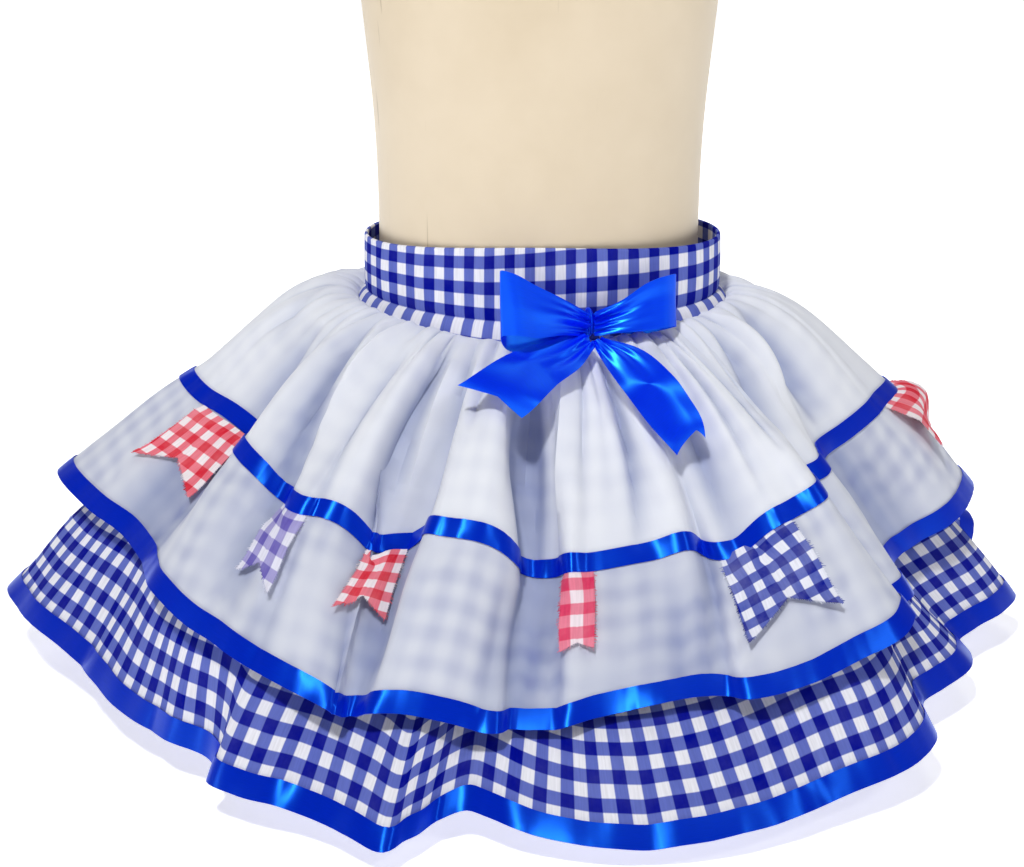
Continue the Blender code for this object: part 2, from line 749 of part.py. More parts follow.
def make_tail(name, stations, reach_of, material):
    """A tail of ribbon that hangs from the knot, clear of the voile, with a notched end."""
    middles = []
    for station in stations:
        reach = reach_of(station.deg, station.up) + station.clearance
        middles.append(place(math.radians(station.deg), reach, station.up))
    middles = np.array(middles)
    heads = np.gradient(middles, axis=0)
    heads /= np.linalg.norm(heads, axis=1)[:, None]
    grid = []
    for share in (-1.0, 0.0, 1.0):
        rows = []
        for index, station in enumerate(stations):
            slope = reach_of(station.deg, station.up - 6) - reach_of(station.deg, station.up + 6)
            outward = place(math.radians(station.deg), 1.0, slope / 12.0)
            sideways = np.cross(outward, heads[index])
            sideways /= np.linalg.norm(sideways)
            spot = middles[index] - sideways * share * station.half_width
            if index == len(stations) - 1:
                spot = spot - heads[index] * TAIL_NOTCH * (1.0 - abs(share))
            bearing = math.atan2(spot[0], -spot[1])
            least = reach_of(math.degrees(bearing), spot[2]) + BOW_THICK + TAIL_GAP
            reach = max(math.hypot(spot[0], spot[1]), least)
            rows.append(place(bearing, reach, spot[2]))
        grid.append(rows)
    make_sheet(name, np.array(grid), False, material, BOW_THICK)


def make_form(material):
    """The limbless torso: a closed loft with a flat base and a closed neck."""
    points = []
    for section in FORM_SECTIONS:
        for side in range(FORM_SIDES):
            bearing = 2 * math.pi * side / FORM_SIDES
            oval = (section.half_width, section.half_depth)
            points.append(place(bearing, oval_reach(bearing, oval), section.up))
    faces = []
    for level in range(len(FORM_SECTIONS) - 1):
        for side in range(FORM_SIDES):
            following = (side + 1) % FORM_SIDES
            low = level * FORM_SIDES
            high = low + FORM_SIDES
            faces.append((low + side, low + following, high + following, high + side))
    top = (len(FORM_SECTIONS) - 1) * FORM_SIDES
    faces.append(tuple(reversed(range(FORM_SIDES))))
    faces.append(tuple(range(top, top + FORM_SIDES)))
    new_object("dress_form", points, faces, material)


for startup in list(bpy.data.objects):
    bpy.data.objects.remove(startup, do_unlink=True)
parts = bpy.data.collections.new("festa_junina_skirt")
bpy.context.scene.collection.children.link(parts)

gingham = new_material("blue gingham", (0.12, 0.17, 0.55), 0.85)
voile_white = new_material("white voile", (0.8, 0.82, 0.88), 0.8)
satin = new_material("royal blue satin", (0.0, 0.02, 0.6), 0.3)
cream = new_material("cream form", (0.75, 0.68, 0.54), 0.5)

overskirt = Overskirt()
underskirt = Underskirt(overskirt)
voile = FacetedVoile(overskirt)

make_form(cream)
make_waistband(gingham)
make_panels("overskirt", overskirt, len(FRONT_FOLDS), OVER_LEVELS, voile_white, VOILE_THICK)
make_panels("underskirt", underskirt, len(FRONT_HEM), UNDER_LEVELS, gingham, GINGHAM_THICK)
make_ribbon("ribbon_upper", overskirt, OVER_LEVELS, [3, 4], satin)
make_ribbon("ribbon_middle", overskirt, OVER_LEVELS, [6, 7], satin)
make_ribbon("ribbon_hem", underskirt, UNDER_LEVELS, [4, 5], satin)
for flag in FLAGS:
    make_flag(flag, voile, new_material(f"{flag.name} gingham", flag.colour, 0.85))
make_loop("bow_loop_left", LOOP_LEFT, -1.0, satin)
make_loop("bow_loop_right", LOOP_RIGHT, 1.0, satin)
make_knot(satin)
front_reach = outermost(overskirt)
make_tail("bow_tail_left", TAIL_LEFT, front_reach, satin)
make_tail("bow_tail_right", TAIL_RIGHT, front_reach, satin)
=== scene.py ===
import math
import random

import bpy
import numpy as np
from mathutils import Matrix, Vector
from mathutils.bvhtree import BVHTree


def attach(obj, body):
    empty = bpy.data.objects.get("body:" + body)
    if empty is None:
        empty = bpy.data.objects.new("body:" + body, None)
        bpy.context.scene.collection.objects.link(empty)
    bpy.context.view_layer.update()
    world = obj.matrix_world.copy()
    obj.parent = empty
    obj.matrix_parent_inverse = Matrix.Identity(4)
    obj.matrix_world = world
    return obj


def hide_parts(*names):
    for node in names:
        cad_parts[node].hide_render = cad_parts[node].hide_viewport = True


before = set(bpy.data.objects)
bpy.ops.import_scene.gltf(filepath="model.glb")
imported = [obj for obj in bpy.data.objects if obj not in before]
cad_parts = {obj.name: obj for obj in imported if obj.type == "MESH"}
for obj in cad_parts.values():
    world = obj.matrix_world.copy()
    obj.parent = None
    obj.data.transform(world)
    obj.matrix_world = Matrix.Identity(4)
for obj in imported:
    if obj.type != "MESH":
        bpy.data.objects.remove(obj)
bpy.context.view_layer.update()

# A toddler's festa junina skirt on a dress form. Sizes are in millimetres and become metres in
# the meshes. Bearings are in degrees round the upright axis, 0 at the front and 90 on the
# wearer's left; reach is the distance out from that axis. A line is a number along the skirt's
# folds, and a level runs down the cloth: 0 at the waist seam, 1 at the next row of knots.
mm = 0.001
checks = {"band": (6.1, 7.2), "skirt": (7.2, 7.2), "behindVoile": (7.4, 7.4)}  # width and height


def nodeName(name):  # the CAD node that a piece stands for: bowKnot for bow_knot
    return "".join("_" + letter.lower() if letter.isupper() else letter for letter in name)


def lengthAlong(points):
    steps = np.linalg.norm(np.diff(points, axis=0), axis=1)
    return np.concatenate([[0.0], np.cumsum(steps)])


band = {
    "topUp": 245.0, "frontRise": 6.0,
    "foldUp": 215.0, "foldFrontDrop": 3.0,
    "seamUp": 209.0, "seamFrontDrop": 7.5,
    "topOval": (96.4, 72.4), "foldOval": (96.6, 72.7), "seamOval": (101.0, 77.4),
    "sideShift": 2.0, "wall": 2.0, "columns": 352,
    "checkPairs": 44,
    # rows of points down each part of its section, from the inside of the strip round to its outside
    "sectionRows": {"innerStrip": 9, "inside": 16, "roll": 9, "outside": 26, "strip": 13},
    "leaveSlope": (8.0, 36.0, 12.0),  # degrees up at the sides, and how much less in front and behind
    "ripples": {"seed": 5, "count": 9, "pitch": (9, 46), "size": (0.05, 0.12)},
    "stitchDepth": 0.55, "stripStitchDepth": 0.5, "bulge": 0.35, "stripBulge": 0.5, "hemTuck": 0.6,
    # rows of check between the fold line and the top edge, by bearing
    "checkRows": [(-180, 4.4), (-100, 5.0), (-80, 5.4), (-22, 5.45), (0, 5.15), (22, 4.7),
                  (48, 4.4), (80, 4.25), (180, 4.4)],
}


def ovalReach(bearing, oval):
    return 1.0 / np.hypot(np.sin(bearing) / oval[0], np.cos(bearing) / oval[1])


def bandReach(bearing, oval):
    return ovalReach(bearing, oval) + band["sideShift"] * np.sin(bearing)


def place(bearing, reach, up):
    spots = np.broadcast_arrays(reach * np.sin(bearing), -reach * np.cos(bearing), up)
    return np.stack(spots, -1)


def frontShare(bearing):
    return np.maximum(np.cos(bearing), 0.0) ** 2


def seamPoint(bearing, shift):
    up = band["seamUp"] - band["seamFrontDrop"] * frontShare(bearing)
    return place(bearing, bandReach(bearing, band["seamOval"]) + shift[0], up + shift[1])


def leaveSeam(bearing, drop=0.0):  # gathered cloth leaves the seam nearly level at the sides
    sides, front, back = band["leaveSlope"]
    slope = np.radians(sides - drop - front * frontShare(bearing)
                       - back * frontShare(bearing + math.pi))
    return place(bearing, np.cos(slope), np.sin(slope))


def unit(vectors):
    return vectors / np.linalg.norm(vectors, axis=-1, keepdims=True)


def hermite(start, end, leave, arrive, part):
    square = part * part
    cube = square * part
    return ((2 * cube - 3 * square + 1) * start + (cube - 2 * square + part) * leave
            + (3 * square - 2 * cube) * end + (cube - square) * arrive)


def runningMean(values, halfWindow, wholeTurn=0.0):
    values = np.array(values, float)
    count = len(values)
    long = np.concatenate([values - wholeTurn, values, values + wholeTurn])
    return np.array([long[count + i - halfWindow:count + i + halfWindow + 1].mean()
                     for i in range(count)])


def closedCurve(rows, spacingPoints):
    rows = np.array(rows, float)
    steps = np.linalg.norm(np.roll(spacingPoints, -1, axis=0) - spacingPoints, axis=1)
    slopes = (np.roll(rows, -1, axis=0) - rows) / steps[:, None]
    before = np.roll(slopes, 1, axis=0)
    stepBefore = np.roll(steps, 1)[:, None]
    tangents = (slopes * stepBefore + before * steps[:, None]) / (stepBefore + steps[:, None])
    return {"rows": rows, "steps": steps, "tangents": tangents}


def curveAt(curve, lines):
    count = len(curve["rows"])
    first = np.floor(lines).astype(int)
    part = (lines - first)[:, None]
    first = first % count
    second = (first + 1) % count
    step = curve["steps"][first][:, None]
    return hermite(curve["rows"][first], curve["rows"][second],
                   curve["tangents"][first] * step, curve["tangents"][second] * step, part)


def hangCloth(knots, leave, levels):  # gives columns by levels of points
    spans = np.linalg.norm(np.diff(knots, axis=0), axis=-1, keepdims=True)
    slopes = np.diff(knots, axis=0) / spans
    tangents = [leave]
    for i in range(1, len(spans)):
        tangents.append((slopes[i - 1] * spans[i] + slopes[i] * spans[i - 1])
                        / (spans[i] + spans[i - 1]))
    tangents.append(slopes[-1])
    grid = []
    for level in levels:
        segment = min(int(level), len(spans) - 1)
        grid.append(hermite(knots[segment], knots[segment + 1], tangents[segment] * spans[segment],
                            tangents[segment + 1] * spans[segment], level - segment))
    return np.stack(grid, axis=1)


def smoothRun(rows, count):  # a spline through rows whose first three numbers are a place
    rows = np.array(rows, float)
    spans = np.linalg.norm(np.diff(rows[:, :3], axis=0), axis=1)[:, None]
    slopes = np.diff(rows, axis=0) / spans
    inner = (slopes[:-1] * spans[1:] + slopes[1:] * spans[:-1]) / (spans[1:] + spans[:-1])
    tangents = np.vstack([slopes[:1], inner, slopes[-1:]])
    ends = np.concatenate([[0.0], np.cumsum(spans)])
    along = np.linspace(0.0, ends[-1], count)
    first = np.clip(np.searchsorted(ends, along, side="right") - 1, 0, len(spans) - 1)
    part = ((along - ends[first]) / spans[first, 0])[:, None]
    return hermite(rows[first], rows[first + 1], tangents[first] * spans[first],
                   tangents[first + 1] * spans[first], part)


def outwardNormals(grid, closed):
    if closed:
        across = np.roll(grid, -1, axis=0) - np.roll(grid, 1, axis=0)
    else:
        across = np.gradient(grid, axis=0)
    return unit(np.cross(np.gradient(grid, axis=1), across))


def distanceDown(grid):
    steps = np.linalg.norm(np.diff(grid, axis=1), axis=-1)
    return np.concatenate([np.zeros((len(grid), 1)), np.cumsum(steps, axis=1)], axis=1)


def eased(values, window):  # the most nearby, then the mean of that, twice
    for pick in (np.max, np.mean, np.mean):
        padded = np.pad(values, window, mode="edge")
        values = np.array([pick(padded[row:row + 2 * window + 1]) for row in range(len(values))])
    return values


def atDistances(grid, down, wanted):  # points of each column at its own distances down
    found = np.empty((*wanted.shape, 3))
    for column in range(len(grid)):
        for axis in range(3):
            found[column, :, axis] = np.interp(wanted[column], down[column], grid[column, :, axis])
    return found


# Studio: the camera stands where the picture was taken, and the main light is high in front.
# Each lamp has a name, a place, the point it is aimed at, the length of its sides and its watts.
studio = {
    "cameraAt": (-0.0144, -1.05, 0.4682), "pitchDown": 17.904, "lens": 69.18,
    "sensorWidth": 36.0,
    "worldLight": 0.12,
    "lamps": [
        ("keyLamp", (-0.45, -1.4, 2.3), (0.0, 0.0, 0.16), 0.2, 37.0),
        ("rightLamp", (1.45, -0.95, 1.6), (0.0, 0.0, 0.15), 0.25, 5.5),
        ("leftLamp", (-2.0, -0.75, 0.5), (0.0, 0.0, 0.2), 0.2, 2.5),
        ("topLamp", (0.4, 0.4, 2.2), (0.0, 0.0, 0.1), 0.7, 5.0),
        ("backLamp", (-0.8, 2.2, 1.4), (0.0, 0.0, 0.15), 1.2, 14.0),
    ],
    "floorGlow": (0.6, 0.93), "glowReach": (0.28, 0.75),
    "floorSide": 80.0,
}


def tint(red, green, blue):  # screen colour from 0 to 255 to Blender's linear one
    shares = [value / 255.0 for value in (red, green, blue)]
    return tuple(s / 12.92 if s <= 0.04045 else ((s + 0.055) / 1.055) ** 2.4 for s in shares)


def addCamera():
    bpy.ops.object.select_all(action="DESELECT")
    turn = (math.radians(90.0 - studio["pitchDown"]), 0.0, 0.0)
    bpy.ops.object.camera_add(location=studio["cameraAt"], rotation=turn)
    camera = bpy.context.object
    camera.name = "photoCamera"
    camera.data.lens = studio["lens"]
    camera.data.sensor_width = studio["sensorWidth"]
    camera.data.clip_start = 0.01
    bpy.context.scene.camera = camera
    bpy.context.scene.view_settings.view_transform = "Standard"


def addLights():
    world = bpy.data.worlds.new("paleStudio")
    world.use_nodes = True
    sky = world.node_tree.nodes["Background"]
    sky.inputs["Color"].default_value = (1.0, 1.0, 1.0, 1.0)
    sky.inputs["Strength"].default_value = studio["worldLight"]
    bpy.context.scene.world = world
    for name, spot, target, side, power in studio["lamps"]:
        aim = (Vector(target) - Vector(spot)).to_track_quat("-Z", "Y").to_euler()
        bpy.ops.object.light_add(type="AREA", location=spot, rotation=aim)
        lamp = bpy.context.object
        lamp.name = name
        lamp.data.size = side
        lamp.data.energy = power


addCamera()
addLights()
print("camera and lights are set")


# Materials. Cloth patterns read each piece's own UV map, which is in metres of cloth.
def setInputs(tree, node, inputs):
    for key, value in inputs.items():
        if isinstance(value, bpy.types.NodeSocket):
            tree.links.new(value, node.inputs[key])
        else:
            node.inputs[key].default_value = value


def newMaterial(name, roughness, colour):
    material = bpy.data.materials.new(name)
    material.use_nodes = True
    material.diffuse_color = (*colour, 1.0)
    tree = material.node_tree
    shader = tree.nodes["Principled BSDF"]
    setInputs(tree, shader, {"Roughness": roughness, "Base Color": (*colour, 1.0)})
    return material, tree, shader


def addNode(tree, kind, inputs, settings=None):
    node = tree.nodes.new(kind)
    for key, value in (settings or {}).items():
        setattr(node, key, value)
    setInputs(tree, node, inputs)
    return node


def mathNode(tree, operation, first, second=0.5):
    return addNode(tree, "ShaderNodeMath", {0: first, 1: second}, {"operation": operation}).outputs[0]


def rampNode(tree, value, stops):
    ramp = addNode(tree, "ShaderNodeValToRGB", {"Fac": value})
    while len(ramp.color_ramp.elements) < len(stops):
        ramp.color_ramp.elements.new(0.5)
    for element, (spot, colour) in zip(ramp.color_ramp.elements, stops):
        element.position = spot
        element.color = (*colour, 1.0)
    return ramp.outputs["Color"]


def mixColour(tree, share, first, second, blend="MIX"):
    first, second = [(*tone, 1.0) if isinstance(tone, tuple) else tone for tone in (first, second)]
    mix = addNode(tree, "ShaderNodeMix", {0: share, 6: first, 7: second},
                  {"data_type": "RGBA", "blend_type": blend})
    return mix.outputs[2]


def noiseNode(tree, vector, scale, detail, roughness=0.5, output="Fac"):
    noise = addNode(tree, "ShaderNodeTexNoise", {
        "Vector": vector, "Scale": scale, "Detail": detail, "Roughness": roughness})
    return noise.outputs[output]


def streakNoise(tree, vector, scale, detail, lean=0.0):  # noise with its own scale along each axis
    mapping = addNode(tree, "ShaderNodeMapping", {
        "Vector": vector, "Rotation": (0.0, lean, 0.0), "Scale": scale})
    return noiseNode(tree, mapping.outputs[0], 1.0, detail)


def rangeNode(tree, value, ends, results=(0.0, 1.0), soft=False):  # maps the ends to the results
    node = addNode(tree, "ShaderNodeMapRange", {
        "Value": value, "From Min": ends[0], "From Max": ends[1], "To Min": results[0],
        "To Max": results[1]}, {"interpolation_type": "SMOOTHSTEP" if soft else "LINEAR"})
    return node.outputs["Result"]


def clothCoordinates(tree, check, turn=0.0, shift=0.0, waver=0.04):
    uv = addNode(tree, "ShaderNodeUVMap", {}).outputs["UV"]
    mapping = addNode(tree, "ShaderNodeMapping", {
        "Vector": uv, "Location": (0.0, shift, 0.0), "Rotation": (0.0, 0.0, turn),
        "Scale": (1.0 / (check[0] * mm), 1.0 / (check[1] * mm), 1.0)})
    nudge = addNode(tree, "ShaderNodeVectorMath", {
        0: noiseNode(tree, uv, 60.0, 2.0, output="Color"), 1: (waver, waver, 0.0),
        2: mapping.outputs["Vector"]}, {"operation": "MULTIPLY_ADD"})
    split = addNode(tree, "ShaderNodeSeparateXYZ", {"Vector": nudge.outputs[0]})
    return uv, split.outputs["X"], split.outputs["Y"]


def checkTone(tree, across, down, edge):  # 0 on light squares, 0.5 on mid ones, 1 on dark ones
    stripes = [rangeNode(tree, mathNode(tree, "PINGPONG", count, 1.0), (0.5 - edge, 0.5 + edge),
                         soft=True) for count in (down, across)]
    return mathNode(tree, "MULTIPLY", mathNode(tree, "ADD", *stripes), 0.5)


def weaveHeight(tree, uv, threadPitch):
    scaled = addNode(tree, "ShaderNodeVectorMath", {0: uv, "Scale": 2.0 * math.pi / threadPitch},
                     {"operation": "SCALE"})
    split = addNode(tree, "ShaderNodeSeparateXYZ", {"Vector": scaled.outputs[0]})
    waves = [mathNode(tree, "SINE", split.outputs[axis]) for axis in ("X", "Y")]
    return mathNode(tree, "MULTIPLY", *waves)


def addBump(tree, shader, height, strength, distance):
    bump = addNode(tree, "ShaderNodeBump",
                   {"Height": height, "Strength": strength, "Distance": distance})
    setInputs(tree, shader, {"Normal": bump.outputs["Normal"]})


# What each finish is made with: bump is its strength and its height in metres.
finishes = {
    "gingham": {"roughness": 0.82, "specular": 0.03, "edge": 0.05, "threadPitch": 0.0006,
                "threadShades": (0.9, 1.04), "slub": (900.0, 60.0, 1.0), "bump": (0.25, 0.0002)},
    "voile": {"roughness": 0.75, "specular": 0.2, "sheen": 0.1, "edge": 0.4, "threadPitch": 0.0005,
              # lowShare greys the low tier; the share after it is how strongly painted shade darkens
              # the valleys
              "bump": (0.25, 0.0003), "lowShare": 0.4, "hollowShare": 0.8,
              # how much of the gingham shows through: all over, on the low tier, in hollows
              "seen": 0.09, "seenLow": 0.23, "seenHollow": 0.22},
    "satin": {"deep": 0.86, "floats": (150.0, 2600.0, 1.0), "bump": (0.12, 0.0001),
              "glint": (0.04, 0.55, 1.0, 1.0), "stretch": 0.75, "stretchTurn": 0.25},
    "form": {"roughness": 0.42, "scratches": (260.0, 260.0, 9.0), "scratchLean": 0.12,
             "scratchFrom": (0.74, 0.8), "scratchShare": 0.55, "bump": (0.15, 0.0006)},
}


def ginghamMaterial(name, tones, check, worn, turn=0.0, shift=0.0):
    finish = finishes["gingham"]
    light, mid, dark = tones
    material, tree, shader = newMaterial(name, finish["roughness"], mid)
    uv, across, down = clothCoordinates(tree, check, turn, shift)
    tone = checkTone(tree, across, down, finish["edge"])
    colour = rampNode(tree, tone, [(0.0, light), (0.5, mid), (1.0, dark)])
    fading = noiseNode(tree, uv, 45.0, 4.0, 0.6)
    wear = rangeNode(tree, fading, (0.35, 0.75), (0.0, worn))
    slub = streakNoise(tree, uv, finish["slub"], 2.0)
    threads = rangeNode(tree, slub, (0.3, 0.7), finish["threadShades"])
    shade = addNode(tree, "ShaderNodeCombineColor", {0: threads, 1: threads, 2: threads})
    colour = mixColour(tree, 1.0, mixColour(tree, wear, colour, light), shade.outputs[0], "MULTIPLY")
    height = mathNode(tree, "ADD", weaveHeight(tree, uv, finish["threadPitch"]), fading)
    addBump(tree, shader, height, *finish["bump"])
    setInputs(tree, shader, {"Base Color": colour, "Specular IOR Level": finish["specular"]})
    return material


def voileMaterial(name):  # its second UV map holds a painted shade mask for valleys and the gaps between gathers, and which tier
    base, checkBehind = tint(234, 237, 245), tint(96, 110, 176)
    # the first tone is painted shade for valleys and gaps between gathers, the second greys the low
    # tier
    hollowTone, lowTone = tint(150, 161, 196), tint(186, 192, 213)
    finish = finishes["voile"]
    material, tree, shader = newMaterial(name, finish["roughness"], base)
    uv, across, down = clothCoordinates(tree, checks["behindVoile"], waver=0.35)
    nearness = addNode(tree, "ShaderNodeUVMap", {}, {"uv_map": "nearness"}).outputs["UV"]
    where = addNode(tree, "ShaderNodeSeparateXYZ", {"Vector": nearness})
    hollow, low = where.outputs["X"], where.outputs["Y"]
    squares = checkTone(tree, across, down, finish["edge"])
    touch = rangeNode(tree, noiseNode(tree, uv, 22.0, 2.0, 0.45), (0.38, 0.62), (0.25, 1.0), True)
    seen = mathNode(tree, "ADD", mathNode(tree, "MULTIPLY", low, finish["seenLow"]),
                    mathNode(tree, "MULTIPLY", hollow, finish["seenHollow"]))
    seen = mathNode(tree, "MULTIPLY", mathNode(tree, "ADD", seen, finish["seen"]), touch)
    lowShare = mathNode(tree, "MULTIPLY", low, finish["lowShare"])
    hollowShare = mathNode(tree, "MULTIPLY", hollow, finish["hollowShare"])
    cloth = mixColour(tree, lowShare, base, lowTone)
    # painted shade: the valleys and the gaps between gathers are darkened in the colour
    cloth = mixColour(tree, hollowShare, cloth, hollowTone)
    cloth = mixColour(tree, mathNode(tree, "MULTIPLY", squares, seen), cloth, checkBehind)
    clouds = noiseNode(tree, uv, 30.0, 5.0, 0.6)
    height = mathNode(tree, "ADD", weaveHeight(tree, uv, finish["threadPitch"]), clouds)
    addBump(tree, shader, height, *finish["bump"])
    setInputs(tree, shader, {"Base Color": cloth, "Sheen Weight": finish["sheen"],
                             "Specular IOR Level": finish["specular"]})
    return material


def satinMaterial(name, colour, roughness, metallic, refraction):  # its floats run along the ribbon
    finish = finishes["satin"]
    material, tree, shader = newMaterial(name, roughness, colour)
    uv = addNode(tree, "ShaderNodeUVMap", {}).outputs["UV"]
    fine = streakNoise(tree, uv, finish["floats"], 3.0)
    deep = tuple(value * finish["deep"] for value in colour)
    addBump(tree, shader, fine, *finish["bump"])
    setInputs(tree, shader, {
        "Base Color": rampNode(tree, fine, [(0.3, deep), (0.7, colour)]), "Metallic": metallic,
        "Specular IOR Level": 1.0, "Specular Tint": finish["glint"], "IOR": refraction,
        "Anisotropic": finish["stretch"], "Anisotropic Rotation": finish["stretchTurn"]})
    return material


def formMaterial(name):
    cream, worn, scratch = tint(223, 207, 181), tint(212, 195, 167), tint(168, 150, 118)
    finish = finishes["form"]
    material, tree, shader = newMaterial(name, finish["roughness"], cream)
    spot = addNode(tree, "ShaderNodeTexCoord", {}).outputs["Object"]
    clouds = noiseNode(tree, spot, 7.0, 5.0, 0.55)
    colour = rampNode(tree, clouds, [(0.35, worn), (0.6, cream)])
    scratches = streakNoise(tree, spot, finish["scratches"], 1.0, finish["scratchLean"])
    lines = rangeNode(tree, scratches, finish["scratchFrom"], (0.0, finish["scratchShare"]))
    addBump(tree, shader, mathNode(tree, "SUBTRACT", clouds, lines), *finish["bump"])
    setInputs(tree, shader, {"Base Color": mixColour(tree, lines, colour, scratch)})
    return material


skirtTones = (tint(240, 240, 249), tint(98, 112, 196), tint(0, 12, 146))  # light, mid, dark
materials = {
    "band": ginghamMaterial("bandGingham", skirtTones, checks["band"], 0.02, shift=0.5),
    "skirt": ginghamMaterial("skirtGingham", skirtTones, checks["skirt"], 0.03),
    "voile": voileMaterial("whiteVoile"),
    "ribbon": satinMaterial("royalSatin", tint(0, 34, 208), 0.33, 0.2, 1.55),
    "bow": satinMaterial("bowSatin", tint(0, 22, 250), 0.33, 0.1, 1.9),
    "form": formMaterial("creamForm"),
}
print("materials are made")


def deselect():
    bpy.ops.object.select_all(action="DESELECT")


def finishPiece(piece, node=None, smoothDegrees=50.0):  # applies modifiers, shades smooth, attaches it to the root body and hides its CAD node
    deselect()
    piece.select_set(True)
    bpy.context.view_layer.objects.active = piece
    for modifier in list(piece.modifiers):
        bpy.ops.object.modifier_apply(modifier=modifier.name)
    bpy.ops.object.shade_smooth_by_angle(angle=math.radians(smoothDegrees))
    deselect()
    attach(piece, "root")
    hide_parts(node or nodeName(piece.name))
    print(piece.name, "has", sum(len(face.vertices) - 2 for face in piece.data.polygons), "triangles")


def meshPiece(name, points, faces, corners, material, thick=0.0):  # corners are UV by face corner
    mesh = bpy.data.meshes.new(name)
    mesh.from_pydata((np.asarray(points) * mm).tolist(), [], np.asarray(faces).tolist())
    layer = mesh.uv_layers.new(name="UVMap")
    layer.data.foreach_set("uv", (np.asarray(corners, float) * mm).ravel())
    mesh.materials.append(material)
    piece = bpy.data.objects.new(name, mesh)
    bpy.context.scene.collection.objects.link(piece)
    if thick:
        wall = piece.modifiers.new("clothWall", "SOLIDIFY")
        wall.thickness = thick * mm
        wall.offset = -1.0
    return piece


def gridFaces(columns, rows, closed):
    last = columns if closed else columns - 1
    first = np.arange(last)[:, None] * rows + np.arange(rows - 1)[None, :]
    second = ((np.arange(last) + 1) % columns)[:, None] * rows + np.arange(rows - 1)[None, :]
    return np.stack([first, first + 1, second + 1, second], axis=-1).reshape(-1, 4)


def gridCorners(across, down):  # UV of each face corner, from those of the points
    flat = np.stack(np.broadcast_arrays(across, down), axis=-1)
    return np.stack([flat[:-1, :-1], flat[:-1, 1:], flat[1:, 1:], flat[1:, :-1]], axis=2).reshape(-1, 2)


def sheetPiece(name, grid, across, down, closed, material, thick):
    columns, rows = grid.shape[:2]
    if closed:
        down = np.vstack([down, down[:1]])
    corners = gridCorners(across[:, None], down)
    return meshPiece(name, grid.reshape(-1, 3), gridFaces(columns, rows, closed), corners,
                     material, thick)


# Dress form: half widths and half depths at heights, from its base to its closed neck.
dressForm = {
    "sides": 48, "rim": 4.0,
    "sections": [
        (0, 82, 68), (2, 85, 70.5), (8, 88, 73), (60, 94, 78), (120, 94, 77.5), (170, 90, 73),
        (205, 87, 69.9), (250, 86.3, 69.6), (298, 87, 70.3), (337, 90.5, 72.5), (372, 94, 75),
        (420, 98.5, 78), (462, 100, 77), (492, 94, 69), (512, 76, 58), (524, 54, 46),
        (534, 40, 37), (560, 36, 34), (567, 34.5, 32.5), (571, 30, 28.5),
    ],
}


def makeDressForm():
    deselect()
    up, halfWidth, halfDepth = dressForm["sections"][0]
    bpy.ops.mesh.primitive_circle_add(vertices=dressForm["sides"], radius=1.0, fill_type="NGON",
                                      location=(0.0, 0.0, up * mm))
    form = bpy.context.object
    form.name = "dressForm"
    bpy.ops.object.mode_set(mode="EDIT")
    bpy.ops.mesh.select_all(action="SELECT")
    bpy.ops.transform.resize(value=(halfWidth * mm, halfDepth * mm, 1.0))
    bpy.ops.mesh.inset(thickness=dressForm["rim"] * mm)
    bpy.ops.mesh.select_all(action="SELECT")
    for following in dressForm["sections"][1:]:
        bpy.ops.mesh.extrude_region_move(
            TRANSFORM_OT_translate={"value": (0.0, 0.0, (following[0] - up) * mm)})
        bpy.ops.transform.resize(value=(following[1] / halfWidth, following[2] / halfDepth, 1.0))
        up, halfWidth, halfDepth = following
    bpy.ops.mesh.inset(thickness=dressForm["rim"] * mm)
    bpy.ops.mesh.select_all(action="SELECT")
    bpy.ops.mesh.normals_make_consistent(inside=False)
    bpy.ops.object.mode_set(mode="OBJECT")
    bpy.ops.object.transform_apply(location=True, rotation=True, scale=True)
    form.data.materials.append(materials["form"])
    soft = form.modifiers.new("smoothForm", "SUBSURF")
    soft.levels = 2
    soft.render_levels = 2
    finishPiece(form, smoothDegrees=60.0)


makeDressForm()


